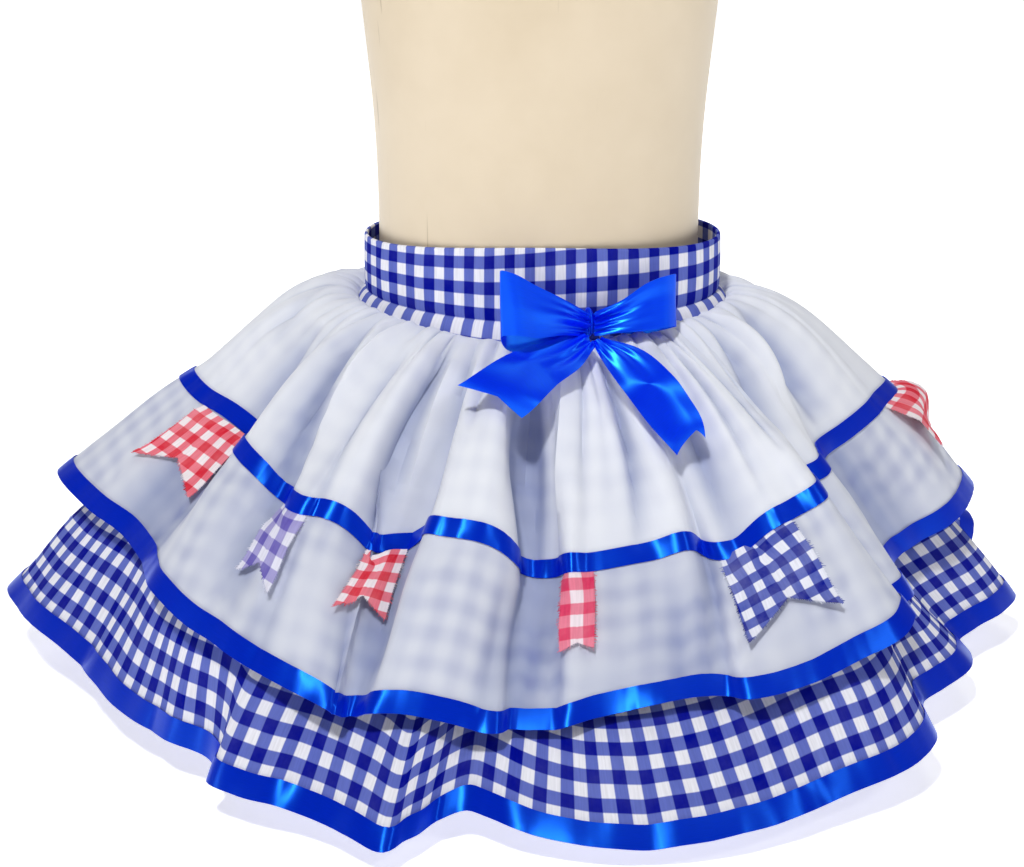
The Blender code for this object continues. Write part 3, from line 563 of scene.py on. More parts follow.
# Waistband: a ring of doubled gingham that rolls over at the top and flares out to the seam
# below a stitched fold line.
def makeWaistband():
    count = band["columns"]
    bearing = np.linspace(-math.pi, math.pi, count, endpoint=False)
    front = frontShare(bearing)
    top = band["topUp"] + band["frontRise"] * front
    fold = band["foldUp"] - band["foldFrontDrop"] * front
    rows = np.interp(np.degrees(bearing), *zip(*band["checkRows"]))
    wall = band["wall"]
    profile = []  # each row: reach, height, rows of check above the fold line
    topReach = bandReach(bearing, band["topOval"])
    foldReach = bandReach(bearing, band["foldOval"])
    seamReach = bandReach(bearing, band["seamOval"])
    seamUp = band["seamUp"] - band["seamFrontDrop"] * front
    sizes = band["ripples"]
    draw = random.Random(sizes["seed"])
    ripples = [(draw.randint(*sizes["pitch"]), draw.uniform(0, 6.28), draw.uniform(*sizes["size"]))
               for _ in range(sizes["count"])]
    soft = sum(size * np.sin(pitch * bearing + phase) for pitch, phase, size in ripples)
    counts = band["sectionRows"]
    for share in np.linspace(1.0, 0.0, counts["innerStrip"]):  # inside, from seam to fold line
        reach = foldReach * (1 - share) + (seamReach - 0.7) * share - wall
        profile.append((reach, fold * (1 - share) + (seamUp + 0.8) * share, -1.7 * share - 0.3))
    for share in np.linspace(0.0, 1.0, counts["inside"])[1:-1]:  # inside, up to the rolled top
        profile.append((foldReach * (1 - share) + topReach * share - wall,
                        fold * (1 - share) + (top - wall / 2) * share, rows * share))
    for angle in np.linspace(180.0, 0.0, counts["roll"]):
        turn = math.radians(angle)
        profile.append((topReach - wall / 2 + wall / 2 * math.cos(turn),
                        top - wall / 2 + wall / 2 * math.sin(turn),
                        rows + 0.22 * math.sin(turn)))
    for share in np.linspace(1.0, 0.0, counts["outside"])[1:]:  # outside, down to the fold line
        up = fold * (1 - share) + (top - wall / 2) * share
        belly = math.sin(math.pi * share)
        crease = -band["stitchDepth"] * math.exp(-(share / 0.035) ** 2)
        bulge = band["bulge"] * belly + soft * (0.4 + 0.6 * belly)
        profile.append((foldReach * (1 - share) + topReach * share + crease + bulge, up, rows * share))
    for share in np.linspace(0.0, 1.0, counts["strip"])[1:]:  # the flared strip
        bulge = band["stripBulge"] * math.sin(math.pi * share ** 0.8)
        bulge -= band["stripStitchDepth"] * math.exp(-(share / 0.1) ** 2)
        tuck = -band["hemTuck"] * max(0.0, (share - 0.88) / 0.12) ** 2
        reach = foldReach * (1 - share) + seamReach * share + bulge + tuck + soft * (0.4 - 0.2 * share)
        profile.append((reach, fold * (1 - share) + (seamUp - 0.5) * share, -1.25 * share))
    grid = np.stack([place(bearing, reach, up) for reach, up, _ in profile], axis=1)
    checkRows = np.stack([np.broadcast_to(value, bearing.shape) for *_, value in profile], axis=1)
    grid = np.concatenate([grid, grid[:, :1]], axis=1)
    checkRows = np.concatenate([checkRows, checkRows[:, -1:]], axis=1)
    rowCount = grid.shape[1]
    across = np.arange(count + 1) / count * band["checkPairs"] * 2 * checks["band"][0]
    faces = gridFaces(count, rowCount, True)
    wrap = faces % rowCount == rowCount - 1  # the last row is the first again
    faces = np.where(wrap, faces - (rowCount - 1), faces)
    down = np.vstack([checkRows, checkRows[:1]]) * checks["band"][1]
    corners = gridCorners(across[:, None], down)
    points = grid.reshape(-1, 3)
    used = np.unique(faces)
    renumber = np.full(len(points), -1)
    renumber[used] = np.arange(len(used))
    piece = meshPiece("bandCloth", points[used], renumber[faces], corners, materials["band"])
    finishPiece(piece, "waistband")


makeWaistband()


# Voile: its folds in front, one row for each crest, valley or folded edge, where it crosses the
# upper ribbon's lower edge and at its hem: bearing, reach and height of both.
voileFolds = [
    (-97.0, 189, 147, -97.0, 252, 95), (-91.0, 198, 160, -90.0, 269, 108),
    (-81.0, 186, 156, -78.0, 247, 101), (-74.0, 174, 153, -72.0, 234, 97),
    (-67.0, 166, 147, -65.0, 229, 92), (-58.0, 183, 148, -54.0, 238, 90),
    (-50.0, 183, 141, -46.0, 239, 83), (-46.0, 179, 133, -42.0, 238, 80),
    (-42.0, 185, 133, -39.5, 239, 78), (-37.0, 181, 133, -33.0, 238, 71),
    (-32.5, 174, 126, -27.5, 237, 65), (-29.0, 168, 116, -24.0, 238, 62),
    (-28.5, 159, 112, -24.0, 229, 56), (-25.5, 153, 112, -23.5, 227, 56),
    (-22.5, 154, 119, -22.6, 228, 57), (-20.3, 165, 127, -21.2, 230, 60),
    (-16.0, 168, 129, -18.0, 225, 60), (-9.0, 164, 124, -11.6, 220, 56),
    (-3.5, 154, 108, -5.3, 217, 51), (-3.0, 147, 104, -4.5, 211, 50),
    (0.0, 147, 102, -2.0, 211, 50), (3.2, 149, 103, 0.7, 212, 51),
    (4.2, 155, 107, 2.0, 213, 52), (9.0, 155, 107, 6.5, 210, 55),
    (20.0, 158, 111, 15.0, 212, 60), (27.0, 163, 115, 21.0, 216, 63),
    (30.6, 161, 109, 24.0, 221, 63), (31.0, 169, 110, 24.8, 228, 64),
    (33.0, 175, 113, 27.0, 232, 65), (38.0, 182, 124, 32.0, 237, 69),
    (43.0, 188, 131, 39.0, 242, 76), (47.5, 192, 137, 46.0, 246, 82),
    (50.0, 185, 138, 49.5, 241, 86), (51.2, 175, 137, 52.5, 227, 82),
    (55.0, 178, 139, 56.0, 227, 83), (59.0, 173, 140, 62.0, 214, 81),
    (67.0, 166, 139, 73.0, 202, 77), (73.0, 173, 142, 78.0, 211, 80),
    (80.0, 184, 147, 82.0, 228, 85), (86.0, 192, 150, 88.0, 243, 91),
    (94.0, 203, 150, 94.0, 250, 94), (101.0, 193, 144, 101.0, 240, 85),
]
# The gingham hem in front in the same way: bearing, reach, height.
ginghamHem = [
    (-97.0, 285, 32), (-90.0, 304, 37), (-84.0, 292, 35), (-72.0, 265, 30), (-65.0, 257, 27),
    (-59.0, 255, 24), (-49.0, 249, 22), (-41.0, 245, 20), (-39.2, 251, 20), (-38.4, 259, 20),
    (-34.0, 261, 19), (-28.0, 257, 17), (-22.0, 260, 15), (-20.0, 264, 15), (-15.4, 269, 13),
    (-14.8, 260, 13), (-13.4, 250, 13), (-11.5, 237, 15), (-9.0, 231, 17), (-6.2, 236, 17),
    (-3.4, 243, 16), (1.7, 250, 13), (9.0, 258, 12), (16.5, 261, 13), (24.5, 261, 15),
    (34.0, 260, 19), (44.0, 264, 23), (49.3, 259, 25), (53.5, 242, 23), (57.5, 233, 22),
    (63.0, 238, 23), (69.5, 246, 24), (74.0, 244, 23), (79.0, 237, 21), (83.5, 249, 23),
    (88.3, 267, 24), (94.0, 280, 24), (101.0, 268, 23),
]
# Hidden folds behind: from bearing, to bearing, depth of the valley at the line and at the hem.
backFolds = {
    "voile": [(108, 120, 13, 18), (120, 138, 16, 22), (138, 163, 15, 20), (163, 193, 16, 17),
              (193, 224, 17, 21), (224, 243, 14, 18), (243, 257, 10, 14)],
    "gingham": [(107, 123, 0, 18), (123, 147, 0, 20), (147, 171, 0, 26), (171, 204, 0, 22),
                (204, 234, 0, 27), (234, 249, 0, 16), (249, 258, 0, 10)],
    "shape": [(0.0, 0.0), (0.2, 0.75), (0.5, 1.0), (0.82, 0.7)],
    "lineOval": (202.0, 166.0), "voileOval": (262.0, 232.0), "ginghamOval": (300.0, 266.0),
    "lineCut": 119.0, "voileCut": 196.0, "ginghamCut": 257.0,
}
voile = {
    "seamShift": (-0.5, 1.0), "wall": 0.55, "step": 2.5, "rowsToLine": 44, "rowsToHem": 32,
    "crowding": 1.35,  # rows lie closer together near the seam
    # gap is how dark the painted shade between gathers is, and gapFall how soon it fades down as a
    # share of a gather's fall
    "gathers": {"seed": 11, "spacing": (4.5, 9.5), "height": (2.6, 5.2), "fall": (14.0, 60.0),
                "gap": (0.5, 1.3), "roundness": 0.52, "seamDepth": 2.4, "gapFall": 0.45},
    "creaseDepth": [(0.0, 2.3), (0.6, 2.0), (1.0, 1.0), (1.3, 1.3), (2.0, 1.0)],
    "troughRoom": 26.0, "ridgeRoom": 16.0,  # how far below the seam troughs and ridges are full
    "crumple": {"seed": 21, "slant": 0.03, "fall": (90.0, 260.0),
                "waves": [(60.0, 130.0, 0.45, 5), (24.0, 50.0, 0.16, 6)]},
    "sideSeams": (0.0, 41.0), "hemLift": 0.8,
    # painted shade in valleys: window around, depth of full shade and strength, wider and stronger on
    # the low tier
    "valleys": {"window": 34.0, "depth": 6.0, "share": 0.4},
    "lowValleys": {"window": 75.0, "depth": 9.0, "share": 0.65}, "lowFrom": 0.93, "lowOver": 0.05,
    # cut of each half: width at the hem and length in metres, and area in square metres
    "flats": {"Front": (0.89, 0.215, 0.165), "Back": (0.835, 0.215, 0.14)},
    # soft folds: line at the top, line at the bottom, from and to in level, half
    # width and height, where a trough's is below 0, and which flank is steep: -1 the one nearer
    # line 0, 1 the other, 0 neither
    "creases": [
        (68.5, 69.5, -0.5, 0.85, 62, 2.6, 0), (1.5, 1.0, -0.5, 0.8, 45, 1.8, 0),
        (1.3, 2.4, 0.08, 0.55, 12, -1.6, 0), (3.3, 3.8, 0.3, 1.1, 15, -3.6, 1),
        (4.6, 5.0, 0.1, 1.1, 12, 2.4, 0), (5.2, 7.0, 0.02, 1.15, 19, -6.0, 1),
        (6.2, 7.9, 0.04, 1.1, 10, 3.6, -1), (8.2, 8.9, 0.15, 1.1, 10, -2.8, 1),
        (9.4, 9.9, 0.05, 1.0, 12, 1.8, 0), (11.6, 10.8, 0.03, 1.15, 14, -6.4, 1),
        (12.2, 12.0, 0.05, 1.0, 9, 2.6, -1), (13.8, 14.6, 0.03, 1.0, 7, -4.0, 1),
        (15.2, 15.6, 0.04, 0.5, 6, -2.0, 0), (16.9, 17.0, 0.1, 1.0, 12, 2.2, 0),
        (19.2, 19.5, 0.03, 1.08, 14, -8.0, 1), (21.6, 21.7, 0.03, 1.0, 9, 3.0, -1),
        (22.8, 22.5, 0.05, 0.7, 5, -1.8, 0), (24.3, 23.8, 0.02, 0.95, 8, -3.6, -1),
        (25.6, 24.7, 0.1, 0.9, 12, 1.6, 0), (27.0, 28.3, 0.1, 1.12, 15, -4.6, -1),
        (29.4, 29.3, 0.03, 0.85, 7, -2.4, -1), (30.9, 30.7, 0.03, 0.75, 9, -3.0, -1),
        (32.5, 31.6, 0.05, 0.7, 7, -2.0, -1), (34.0, 32.6, 0.02, 0.8, 11, -3.8, -1),
        (35.3, 35.0, 0.05, 0.6, 12, 2.4, 0), (36.9, 36.4, 0.02, 0.85, 17, -5.0, -1),
        (38.4, 37.8, 0.05, 0.7, 14, 1.0, 0),
        (2.8, 2.9, 1.05, 1.9, 14, -2.4, 0), (5.2, 5.0, 0.9, 2.3, 16, 2.6, 0),
        (6.3, 6.6, 1.0, 1.8, 18, -3.0, 0), (8.7, 8.6, 0.95, 2.2, 8, -2.8, 1),
        (10.7, 11.0, 0.95, 2.25, 10, -4.6, 1), (9.6, 9.5, 1.0, 2.2, 18, 1.6, 0),
        (17.6, 17.5, 1.05, 2.2, 17, -3.4, -1), (16.0, 16.0, 1.1, 2.2, 16, 1.4, 0),
        (21.6, 21.7, 1.35, 2.2, 6, -2.2, 0), (23.6, 23.8, 1.1, 2.1, 20, 1.5, 0),
        (24.6, 24.4, 1.2, 2.0, 12, -1.3, 0), (36.3, 36.4, 0.95, 2.1, 10, -3.4, 1),
        (29.3, 29.2, 1.4, 2.2, 12, -1.6, 0),
        (43.2, 43.0, 0.03, 1.2, 14, -5.0, 1), (45.6, 46.0, 0.03, 0.9, 12, -4.0, 1),
        (47.2, 48.0, 0.04, 1.3, 16, -5.5, 1), (49.9, 50.4, 0.03, 0.8, 9, -3.2, -1),
        (51.8, 52.0, 0.04, 1.2, 14, -4.5, -1), (53.9, 54.4, 0.03, 1.1, 13, -5.5, -1),
        (55.8, 56.2, 0.05, 0.75, 8, -2.6, 1), (57.7, 58.0, 0.03, 1.25, 17, -5.5, 1),
        (59.8, 60.0, 0.04, 0.7, 9, -3.0, 0), (61.5, 62.0, 0.03, 1.2, 14, -5.0, 1),
        (63.8, 64.2, 0.04, 0.9, 10, -3.4, -1), (65.6, 66.1, 0.03, 1.15, 13, -4.5, -1),
        (67.6, 67.9, 0.03, 0.7, 9, -2.6, 0), (44.6, 44.9, 1.1, 2.2, 16, -2.2, 0),
        (50.0, 50.2, 1.05, 2.1, 18, 2.0, 0), (52.6, 52.7, 1.2, 2.2, 9, -2.4, 1),
        (56.8, 57.0, 1.1, 2.2, 14, -2.4, -1), (60.6, 60.5, 1.1, 2.1, 15, 1.8, 0),
        (64.9, 65.0, 1.2, 2.2, 10, -2.2, 0),
    ],
}
gingham = {
    "seamShift": (-1.3, -2.2), "wall": 0.6, "step": 3.0, "clearance": 9.0, "innerClearance": 22.0,
    "innerDrop": 2.0, "leaveDrop": 34.0, "rowsToMiddle": 9, "rowsToKnee": 11, "rowsToHem": 30,
    "lineWindow": 9.0, "hemWindow": 7.0, "lookUpStep": 3,
    "foldTurn": 0.6, "foldShare": 0.45, "foldRange": (-9.0, 2.5),  # how its hem's folds reach up
    "creasesFrom": 1.2, "creasesOver": 0.8,  # the level where creases begin, and how long they take
    "crumple": {"seed": 34, "slant": 0.03, "fall": (90.0, 260.0),
                "waves": [(50.0, 110.0, 0.5, 5), (22.0, 45.0, 0.18, 5)]},
    "sideSeams": (0.0, 37.0), "hemLift": 0.8,
    "flats": {"Front": (0.985, 0.27, 0.2), "Back": (0.925, 0.27, 0.18)},
    "creases": [
        (3.2, 3.4, 2.2, 3.4, 12, -3.0, 0), (5.6, 5.8, 2.3, 3.4, 9, -2.2, 0),
        (10.6, 10.8, 2.2, 3.3, 8, 1.8, 0), (17.0, 16.8, 2.2, 3.4, 10, -2.0, 0),
        (22.4, 22.2, 2.2, 3.3, 12, -1.8, 0), (25.6, 25.8, 2.3, 3.4, 10, -1.8, 0),
        (30.5, 30.3, 2.2, 3.3, 9, 1.6, 0), (40.2, 40.4, 2.2, 3.4, 10, -2.0, 0),
        (46.5, 46.3, 2.2, 3.4, 12, -2.4, 0), (52.5, 52.7, 2.3, 3.4, 10, -2.0, 0),
        (57.6, 57.4, 2.2, 3.4, 12, -2.4, 0), (62.3, 62.4, 2.2, 3.3, 9, -1.8, 0),
    ],
}
ribbons = {
    "ribbonUpper": {"width": 10.0, "seed": 3}, "ribbonMiddle": {"width": 11.5, "seed": 4},
    "ribbonHem": {"width": 12.5, "seed": 6},
    "gap": 0.25, "wall": 0.5, "rows": 7, "belly": 0.22,
    "puckers": 8, "puckerPitch": (7.0, 26.0), "puckerSize": (0.03, 0.07),
}


def backRows(folds, oval, cut, column):
    rows = []
    for fold in folds:
        for along, stand in backFolds["shape"]:
            degrees = fold[0] + along * (fold[1] - fold[0])
            bearing = math.radians(degrees)
            reach = ovalReach(bearing, oval) - fold[column] * (1.0 - stand)
            drop = math.sqrt(cut ** 2 - (reach - bandReach(bearing, band["seamOval"])) ** 2)
            rows.append((degrees, reach, band["seamUp"] - drop))
    return rows


def placeRows(rows):
    bearing, reach, up = (np.array(column, float) for column in zip(*rows))
    return place(np.radians(bearing), reach, up)


def ringDirections(degrees):
    return np.stack([np.cos(np.radians(degrees)), np.sin(np.radians(degrees))], axis=1)


def voileCurve():
    line = [row[:3] for row in voileFolds]
    hem = [row[3:] for row in voileFolds]
    line += backRows(backFolds["voile"], backFolds["lineOval"], backFolds["lineCut"], 2)
    hem += backRows(backFolds["voile"], backFolds["voileOval"], backFolds["voileCut"], 3)
    gathered = runningMean([row[0] for row in line], 3, 360.0)
    hemPoints = placeRows(hem)
    return closedCurve(np.hstack([ringDirections(gathered), placeRows(line), hemPoints]), hemPoints)


def voileGrid(curve, lines, levels):
    rows = curveAt(curve, lines)
    bearing = np.arctan2(rows[:, 1], rows[:, 0])
    knots = np.stack([seamPoint(bearing, voile["seamShift"]), rows[:, 2:5], rows[:, 5:8]])
    return hangCloth(knots, leaveSeam(bearing), levels)


def lowestReach(curve, level, halfWindow):  # least reach and height of the voile, by bearing
    points = voileGrid(curve, np.arange(0.0, len(curve["rows"]), 0.2), [level])[:, 0]
    around = np.arctan2(points[:, 0], -points[:, 1])
    reach = np.hypot(points[:, 0], points[:, 1])
    found = []
    for bearing in np.radians(np.arange(0, 360, gingham["lookUpStep"])):
        away = np.abs((around - bearing + math.pi) % (2 * math.pi) - math.pi)
        near = away < math.radians(halfWindow)
        found.append((reach[near].min(), points[near, 2].min()))
    found = np.array(found)
    for _ in range(2):
        found = (np.roll(found, 1, axis=0) + found * 2 + np.roll(found, -1, axis=0)) / 4
    return found


def lookUp(found, bearing):
    known = np.arange(0, 360, gingham["lookUpStep"])
    degrees = np.degrees(bearing) % 360.0
    return [np.interp(degrees, known, found[:, column], period=360.0) for column in (0, 1)]


def ginghamCurve():
    rows = ginghamHem + backRows(backFolds["gingham"], backFolds["ginghamOval"],
                                 backFolds["ginghamCut"], 3)
    points = placeRows(rows)
    degrees = np.array([row[0] for row in rows], float)
    reach = np.array([row[1] for row in rows], float)
    gathered = runningMean(degrees, 2, 360.0)
    shift = np.radians(degrees - gathered)[:, None]
    fold = (reach - runningMean(reach, 3))[:, None]
    return closedCurve(np.hstack([ringDirections(gathered), points, shift, fold]), points)


def ginghamGrid(curve, lines, levels, lineInside, hemInside):
    rows = curveAt(curve, lines)
    bearing = np.arctan2(rows[:, 1], rows[:, 0])
    reach, up = lookUp(lineInside, bearing)
    middle = place(bearing, reach - gingham["innerClearance"], up - gingham["innerDrop"])
    turned = bearing + gingham["foldTurn"] * rows[:, 5]
    reach, up = lookUp(hemInside, turned)
    fold = np.clip(gingham["foldShare"] * rows[:, 6], *gingham["foldRange"])
    knee = place(turned, reach - gingham["clearance"] + fold, up)
    knots = np.stack([seamPoint(bearing, gingham["seamShift"]), middle, knee, rows[:, 2:5]])
    return hangCloth(knots, leaveSeam(bearing, gingham["leaveDrop"]), levels)


def hemKnots(rows):  # the place at the hem in each row of a curve
    return rows[:, 5:8] if rows.shape[1] == 8 else rows[:, 2:5]


def evenLines(curve, first, last, step):  # line numbers evenly spaced along the hem
    fine = np.arange(first, last + 1e-9, 0.005)
    along = lengthAlong(hemKnots(curveAt(curve, fine)))
    return np.interp(np.linspace(0.0, along[-1], int(along[-1] / step) + 1), along, fine)


def turnLength(points):  # distance round a closed ring at each point, and the whole of it
    steps = np.linalg.norm(np.roll(points, -1, axis=0) - points, axis=1)
    return np.concatenate([[0.0], np.cumsum(steps)])


def gatherRelief(grid, down, sizes):  # rounded gathers side by side, which die out downwards, and a painted shade mask for the gaps between them
    around = turnLength(grid[:, 0])
    draw = random.Random(sizes["seed"])
    edges = [0.0]
    while edges[-1] < around[-1]:
        edges.append(edges[-1] + draw.uniform(*sizes["spacing"]))
    edges = np.array(edges) * around[-1] / edges[-1]
    relief = np.zeros(grid.shape[:2])
    gaps = np.zeros(grid.shape[:2])
    for left, right in zip(edges, edges[1:]):
        share = (around[:-1] - left) / (right - left)
        inside = (share > 0) & (share < 1)
        bump = np.where(inside, np.sin(math.pi * np.clip(share, 0, 1)), 0.0) ** sizes["roundness"]
        height, fall = draw.uniform(*sizes["height"]), draw.uniform(*sizes["fall"])
        relief += height * bump[:, None] * np.exp(-(down / fall) ** 1.4)
        # painted shade in the gap between two gathers, dying out sooner than they do
        gap = np.where((share >= 0) & (share <= 1), np.clip(1.0 - 2.0 * bump, 0.0, 1.0), 0.0)
        shorter = np.exp(-(down / (sizes["gapFall"] * fall)) ** 1.5)
        gaps += gap[:, None] * shorter * draw.uniform(*sizes["gap"])
    return relief * (1.0 - np.exp(-((down + 0.3) / sizes["seamDepth"]) ** 1.3)), gaps


def creaseRelief(lines, levels, creases, whole, around):
    relief = np.zeros((len(lines), len(levels)))
    hollow = np.zeros_like(relief)
    closedLines = np.append(lines, whole)
    for topLine, bottomLine, start, end, halfWidth, height, steep in creases:
        share = np.clip((levels - start) / (end - start), 0.0, 1.0)
        middle = np.interp((topLine + (bottomLine - topLine) * share) % whole, closedLines, around)
        away = around[:-1, None] - middle[None, :]
        away = (away + around[-1] / 2) % around[-1] - around[-1] / 2
        away = np.where(away * steep > 0, away * 2.4, away)
        inside = (levels > start) & (levels < end)
        fade = np.where(inside, np.sin(math.pi * share) ** 0.7, 0.0)
        power = 1.25 if height < 0 else 2  # a trough's floor is sharper than a ridge's crest
        relief += height * fade[None, :] * np.exp(-np.abs(away / halfWidth) ** power)
        # painted shade: each trough also darkens the voile's colour along its floor
        hollow += max(0.0, -height / 6.0) * fade[None, :] * np.exp(-(away / halfWidth) ** 2)
    return relief, hollow


sideSeam = {"lipHeight": 0.3, "lipAway": 4.0, "lipWidth": 1.8, "depth": 0.5, "width": 1.5}


def seamGroove(cloth, corners):  # the two side seams
    hemAround = cloth["hemAround"]
    known = np.arange(cloth["whole"] + 1)
    along = np.interp(cloth["lines"], known, hemAround)
    relief = np.zeros(len(along))
    for corner in corners:
        middle = np.interp(corner, known, hemAround)
        away = np.abs(along - middle)
        away = np.minimum(away, hemAround[-1] - away)
        lip = np.exp(-((away - sideSeam["lipAway"]) / sideSeam["lipWidth"]) ** 2)
        groove = np.exp(-(away / sideSeam["width"]) ** 2)
        relief += sideSeam["lipHeight"] * lip - sideSeam["depth"] * groove
    return relief[:, None]


def crumple(around, down, sizes):  # faint waves all over: least and most length, size, how many
    draw = random.Random(sizes["seed"])
    relief = np.zeros(down.shape)
    whole = around[-1]
    for low, high, size, count in sizes["waves"]:
        for _ in range(count):
            turns = max(1, round(whole / draw.uniform(low, high)))
            slant = draw.uniform(-sizes["slant"], sizes["slant"])
            fall = draw.uniform(*sizes["fall"])
            sideways = np.sin(2 * math.pi * (turns * around[:-1, None] / whole) + slant * down
                              + draw.uniform(0, 6.28))
            relief += size * sideways * np.cos(2 * math.pi * down / fall + draw.uniform(0, 6.28))
    return relief


def ringCloth(curve, gridOf, frontLast, step):
    whole = len(curve["rows"])
    frontLines = evenLines(curve, 0, frontLast, step)
    backLines = evenLines(curve, frontLast, whole, step)
    lines = np.concatenate([frontLines[:-1], backLines[:-1]])
    return {"lines": lines, "grid": gridOf(lines), "split": len(frontLines) - 1, "whole": whole,
            "hemAround": turnLength(hemKnots(curve["rows"]))}


def hollows(grid, sizes):  # painted shade mask: towards 1 in a fold's valley, 0 on its crest
    reach = np.hypot(grid[..., 0], grid[..., 1])
    around = turnLength(grid[:, -1])
    count = len(grid)
    mean = np.zeros_like(reach)
    span = int(sizes["window"] / (around[-1] / count))
    for step in range(-span, span + 1):
        mean += np.roll(reach, step, axis=0)
    return sizes["share"] * np.clip((mean / (2 * span + 1) - reach) / sizes["depth"], 0.0, 1.0)


def relieve(cloth, relief):
    cloth["grid"] = cloth["grid"] + outwardNormals(cloth["grid"], True) * relief[..., None]
    cloth["down"] = distanceDown(cloth["grid"])
    cloth["normals"] = outwardNormals(cloth["grid"], True)


def panelPieces(cloth, stem, material, sizes, fromHem):  # the front and the back half
    down = cloth["down"]
    hem = turnLength(cloth["grid"][:, -1])
    grid = cloth["grid"].copy()
    grid[:, -1] = atDistances(grid, down, down[:, -1:] - sizes["hemLift"])[:, 0]
    drop = (down[:, -1:] - down) if fromHem else down
    split = cloth["split"]
    for side, columns in (("Front", range(0, split + 1)), ("Back", range(split, len(grid) + 1))):
        index = np.array(columns) % len(grid)
        across = hem[np.array(columns)]
        piece = sheetPiece(stem + side, grid[index], across, drop[index], False, material,
                           sizes["wall"])
        if "hollow" in cloth:
            # a second UV map carries the painted shade mask and the low tier to the voile's material
            nearness = piece.data.uv_layers.new(name="nearness")
            shown = gridCorners(cloth["hollow"][index], cloth["low"][index])
            nearness.data.foreach_set("uv", shown.ravel())
        finishPiece(piece)
        top = turnLength(cloth["grid"][:, 6])[np.array(columns)]
        print(piece.name, "hem", round(across[-1] - across[0]), "mm, gathers",
              round(top[-1] - top[0]), "mm, drop", round(float(down[index, -1].mean())), "mm")


voileLevels = np.concatenate([np.linspace(0, 1, voile["rowsToLine"]) ** voile["crowding"],
                              1 + np.linspace(0, 1, voile["rowsToHem"])[1:]])
foldCurve = voileCurve()
overCloth = ringCloth(foldCurve, lambda lines: voileGrid(foldCurve, lines, voileLevels),
                      len(voileFolds) - 1, voile["step"])
overDown = distanceDown(overCloth["grid"])
overAround = turnLength(overCloth["grid"][:, -1])
lineRow = voile["rowsToLine"] - 1
folds, shades = creaseRelief(overCloth["lines"], voileLevels, voile["creases"],
                             overCloth["whole"],
                             turnLength(overCloth["grid"][:, lineRow]))
folds = folds * np.interp(voileLevels, *zip(*voile["creaseDepth"]))[None, :]
seamRoom = np.where(folds < 0, voile["troughRoom"], voile["ridgeRoom"])
folds = folds * np.clip(overDown / seamRoom, 0, 1)
gathers, gaps = gatherRelief(overCloth["grid"], overDown, voile["gathers"])
relieve(overCloth, gathers + folds + seamGroove(overCloth, voile["sideSeams"])
        + crumple(overAround, overDown, voile["crumple"]))
overCloth["lineDown"] = overCloth["down"][:, lineRow]
lowTier = np.clip((voileLevels - voile["lowFrom"]) / voile["lowOver"], 0, 1)
overCloth["low"] = np.broadcast_to(lowTier, overDown.shape)
# painted shade for the voile's colour: valleys, trough floors and gaps between gathers, and the low
# tier's wider valleys
shaded = np.clip(hollows(overCloth["grid"], voile["valleys"]) + shades + gaps, 0.0, 1.0)
shaded = shaded + hollows(overCloth["grid"], voile["lowValleys"]) * lowTier[None, :]
overCloth["hollow"] = np.clip(shaded, 0.0, 1.0)
panelPieces(overCloth, "overskirt", materials["voile"], voile, False)
print("voile hem is", round(overAround[-1]), "mm round")

underLevels = np.concatenate([np.linspace(0, 1, gingham["rowsToMiddle"])[:-1],
                              np.linspace(1, 2, gingham["rowsToKnee"])[:-1],
                              np.linspace(2, 3, gingham["rowsToHem"])])
hemCurve = ginghamCurve()
lineInside = lowestReach(foldCurve, 1.0, gingham["lineWindow"])
hemInside = lowestReach(foldCurve, 2.0, gingham["hemWindow"])
underCloth = ringCloth(hemCurve, lambda lines: ginghamGrid(hemCurve, lines, underLevels, lineInside,
                                                           hemInside),
                       len(ginghamHem) - 1, gingham["step"])
underDown = distanceDown(underCloth["grid"])
underAround = turnLength(underCloth["grid"][:, -1])
folds = creaseRelief(underCloth["lines"], underLevels, gingham["creases"], underCloth["whole"],
                     underAround)[0]
shown = np.clip((underLevels - gingham["creasesFrom"]) / gingham["creasesOver"], 0.0, 1.0)
relieve(underCloth, (folds + crumple(underAround, underDown, gingham["crumple"])) * shown[None, :]
        + seamGroove(underCloth, gingham["sideSeams"]))
panelPieces(underCloth, "underskirt", materials["skirt"], gingham, True)
print("gingham hem is", round(underAround[-1]), "mm round")


# Ribbons: strips of the cloth's own points, moved out, with slight puckers along both edges.
def makeRibbon(name, cloth, bottom):  # bottom is how far down the cloth its lower edge is
    width = ribbons[name]["width"]
    shares = np.linspace(0.0, 1.0, ribbons["rows"])
    wanted = bottom[:, None] - width * (1.0 - shares)[None, :]
    grid = atDistances(cloth["grid"], cloth["down"], wanted)
    around = turnLength(grid[:, -1])
    draw = random.Random(ribbons[name]["seed"])
    pucker = np.zeros(len(grid))
    for _ in range(ribbons["puckers"]):
        turns = round(around[-1] / draw.uniform(*ribbons["puckerPitch"]))
        size = draw.uniform(*ribbons["puckerSize"])
        pucker += size * np.sin(2 * math.pi * turns * around[:-1] / around[-1] + draw.uniform(0, 6.28))
    belly = ribbons["belly"] * np.sin(math.pi * shares)
    edges = 0.4 + np.abs(2 * shares - 1)
    lift = ribbons["gap"] + ribbons["wall"] + belly[None, :] + np.abs(pucker)[:, None] * edges[None, :]
    grid = grid + outwardNormals(grid, True) * lift[..., None]
    across = np.broadcast_to(width * shares, grid.shape[:2])
    piece = sheetPiece(name, grid, around, across, True, materials["ribbon"], ribbons["wall"])
    finishPiece(piece)
    print(name, "is", round(around[-1]), "mm round")


makeRibbon("ribbonUpper", overCloth, overCloth["lineDown"])
makeRibbon("ribbonMiddle", overCloth, overCloth["down"][:, -1])
makeRibbon("ribbonHem", underCloth, underCloth["down"][:, -1])


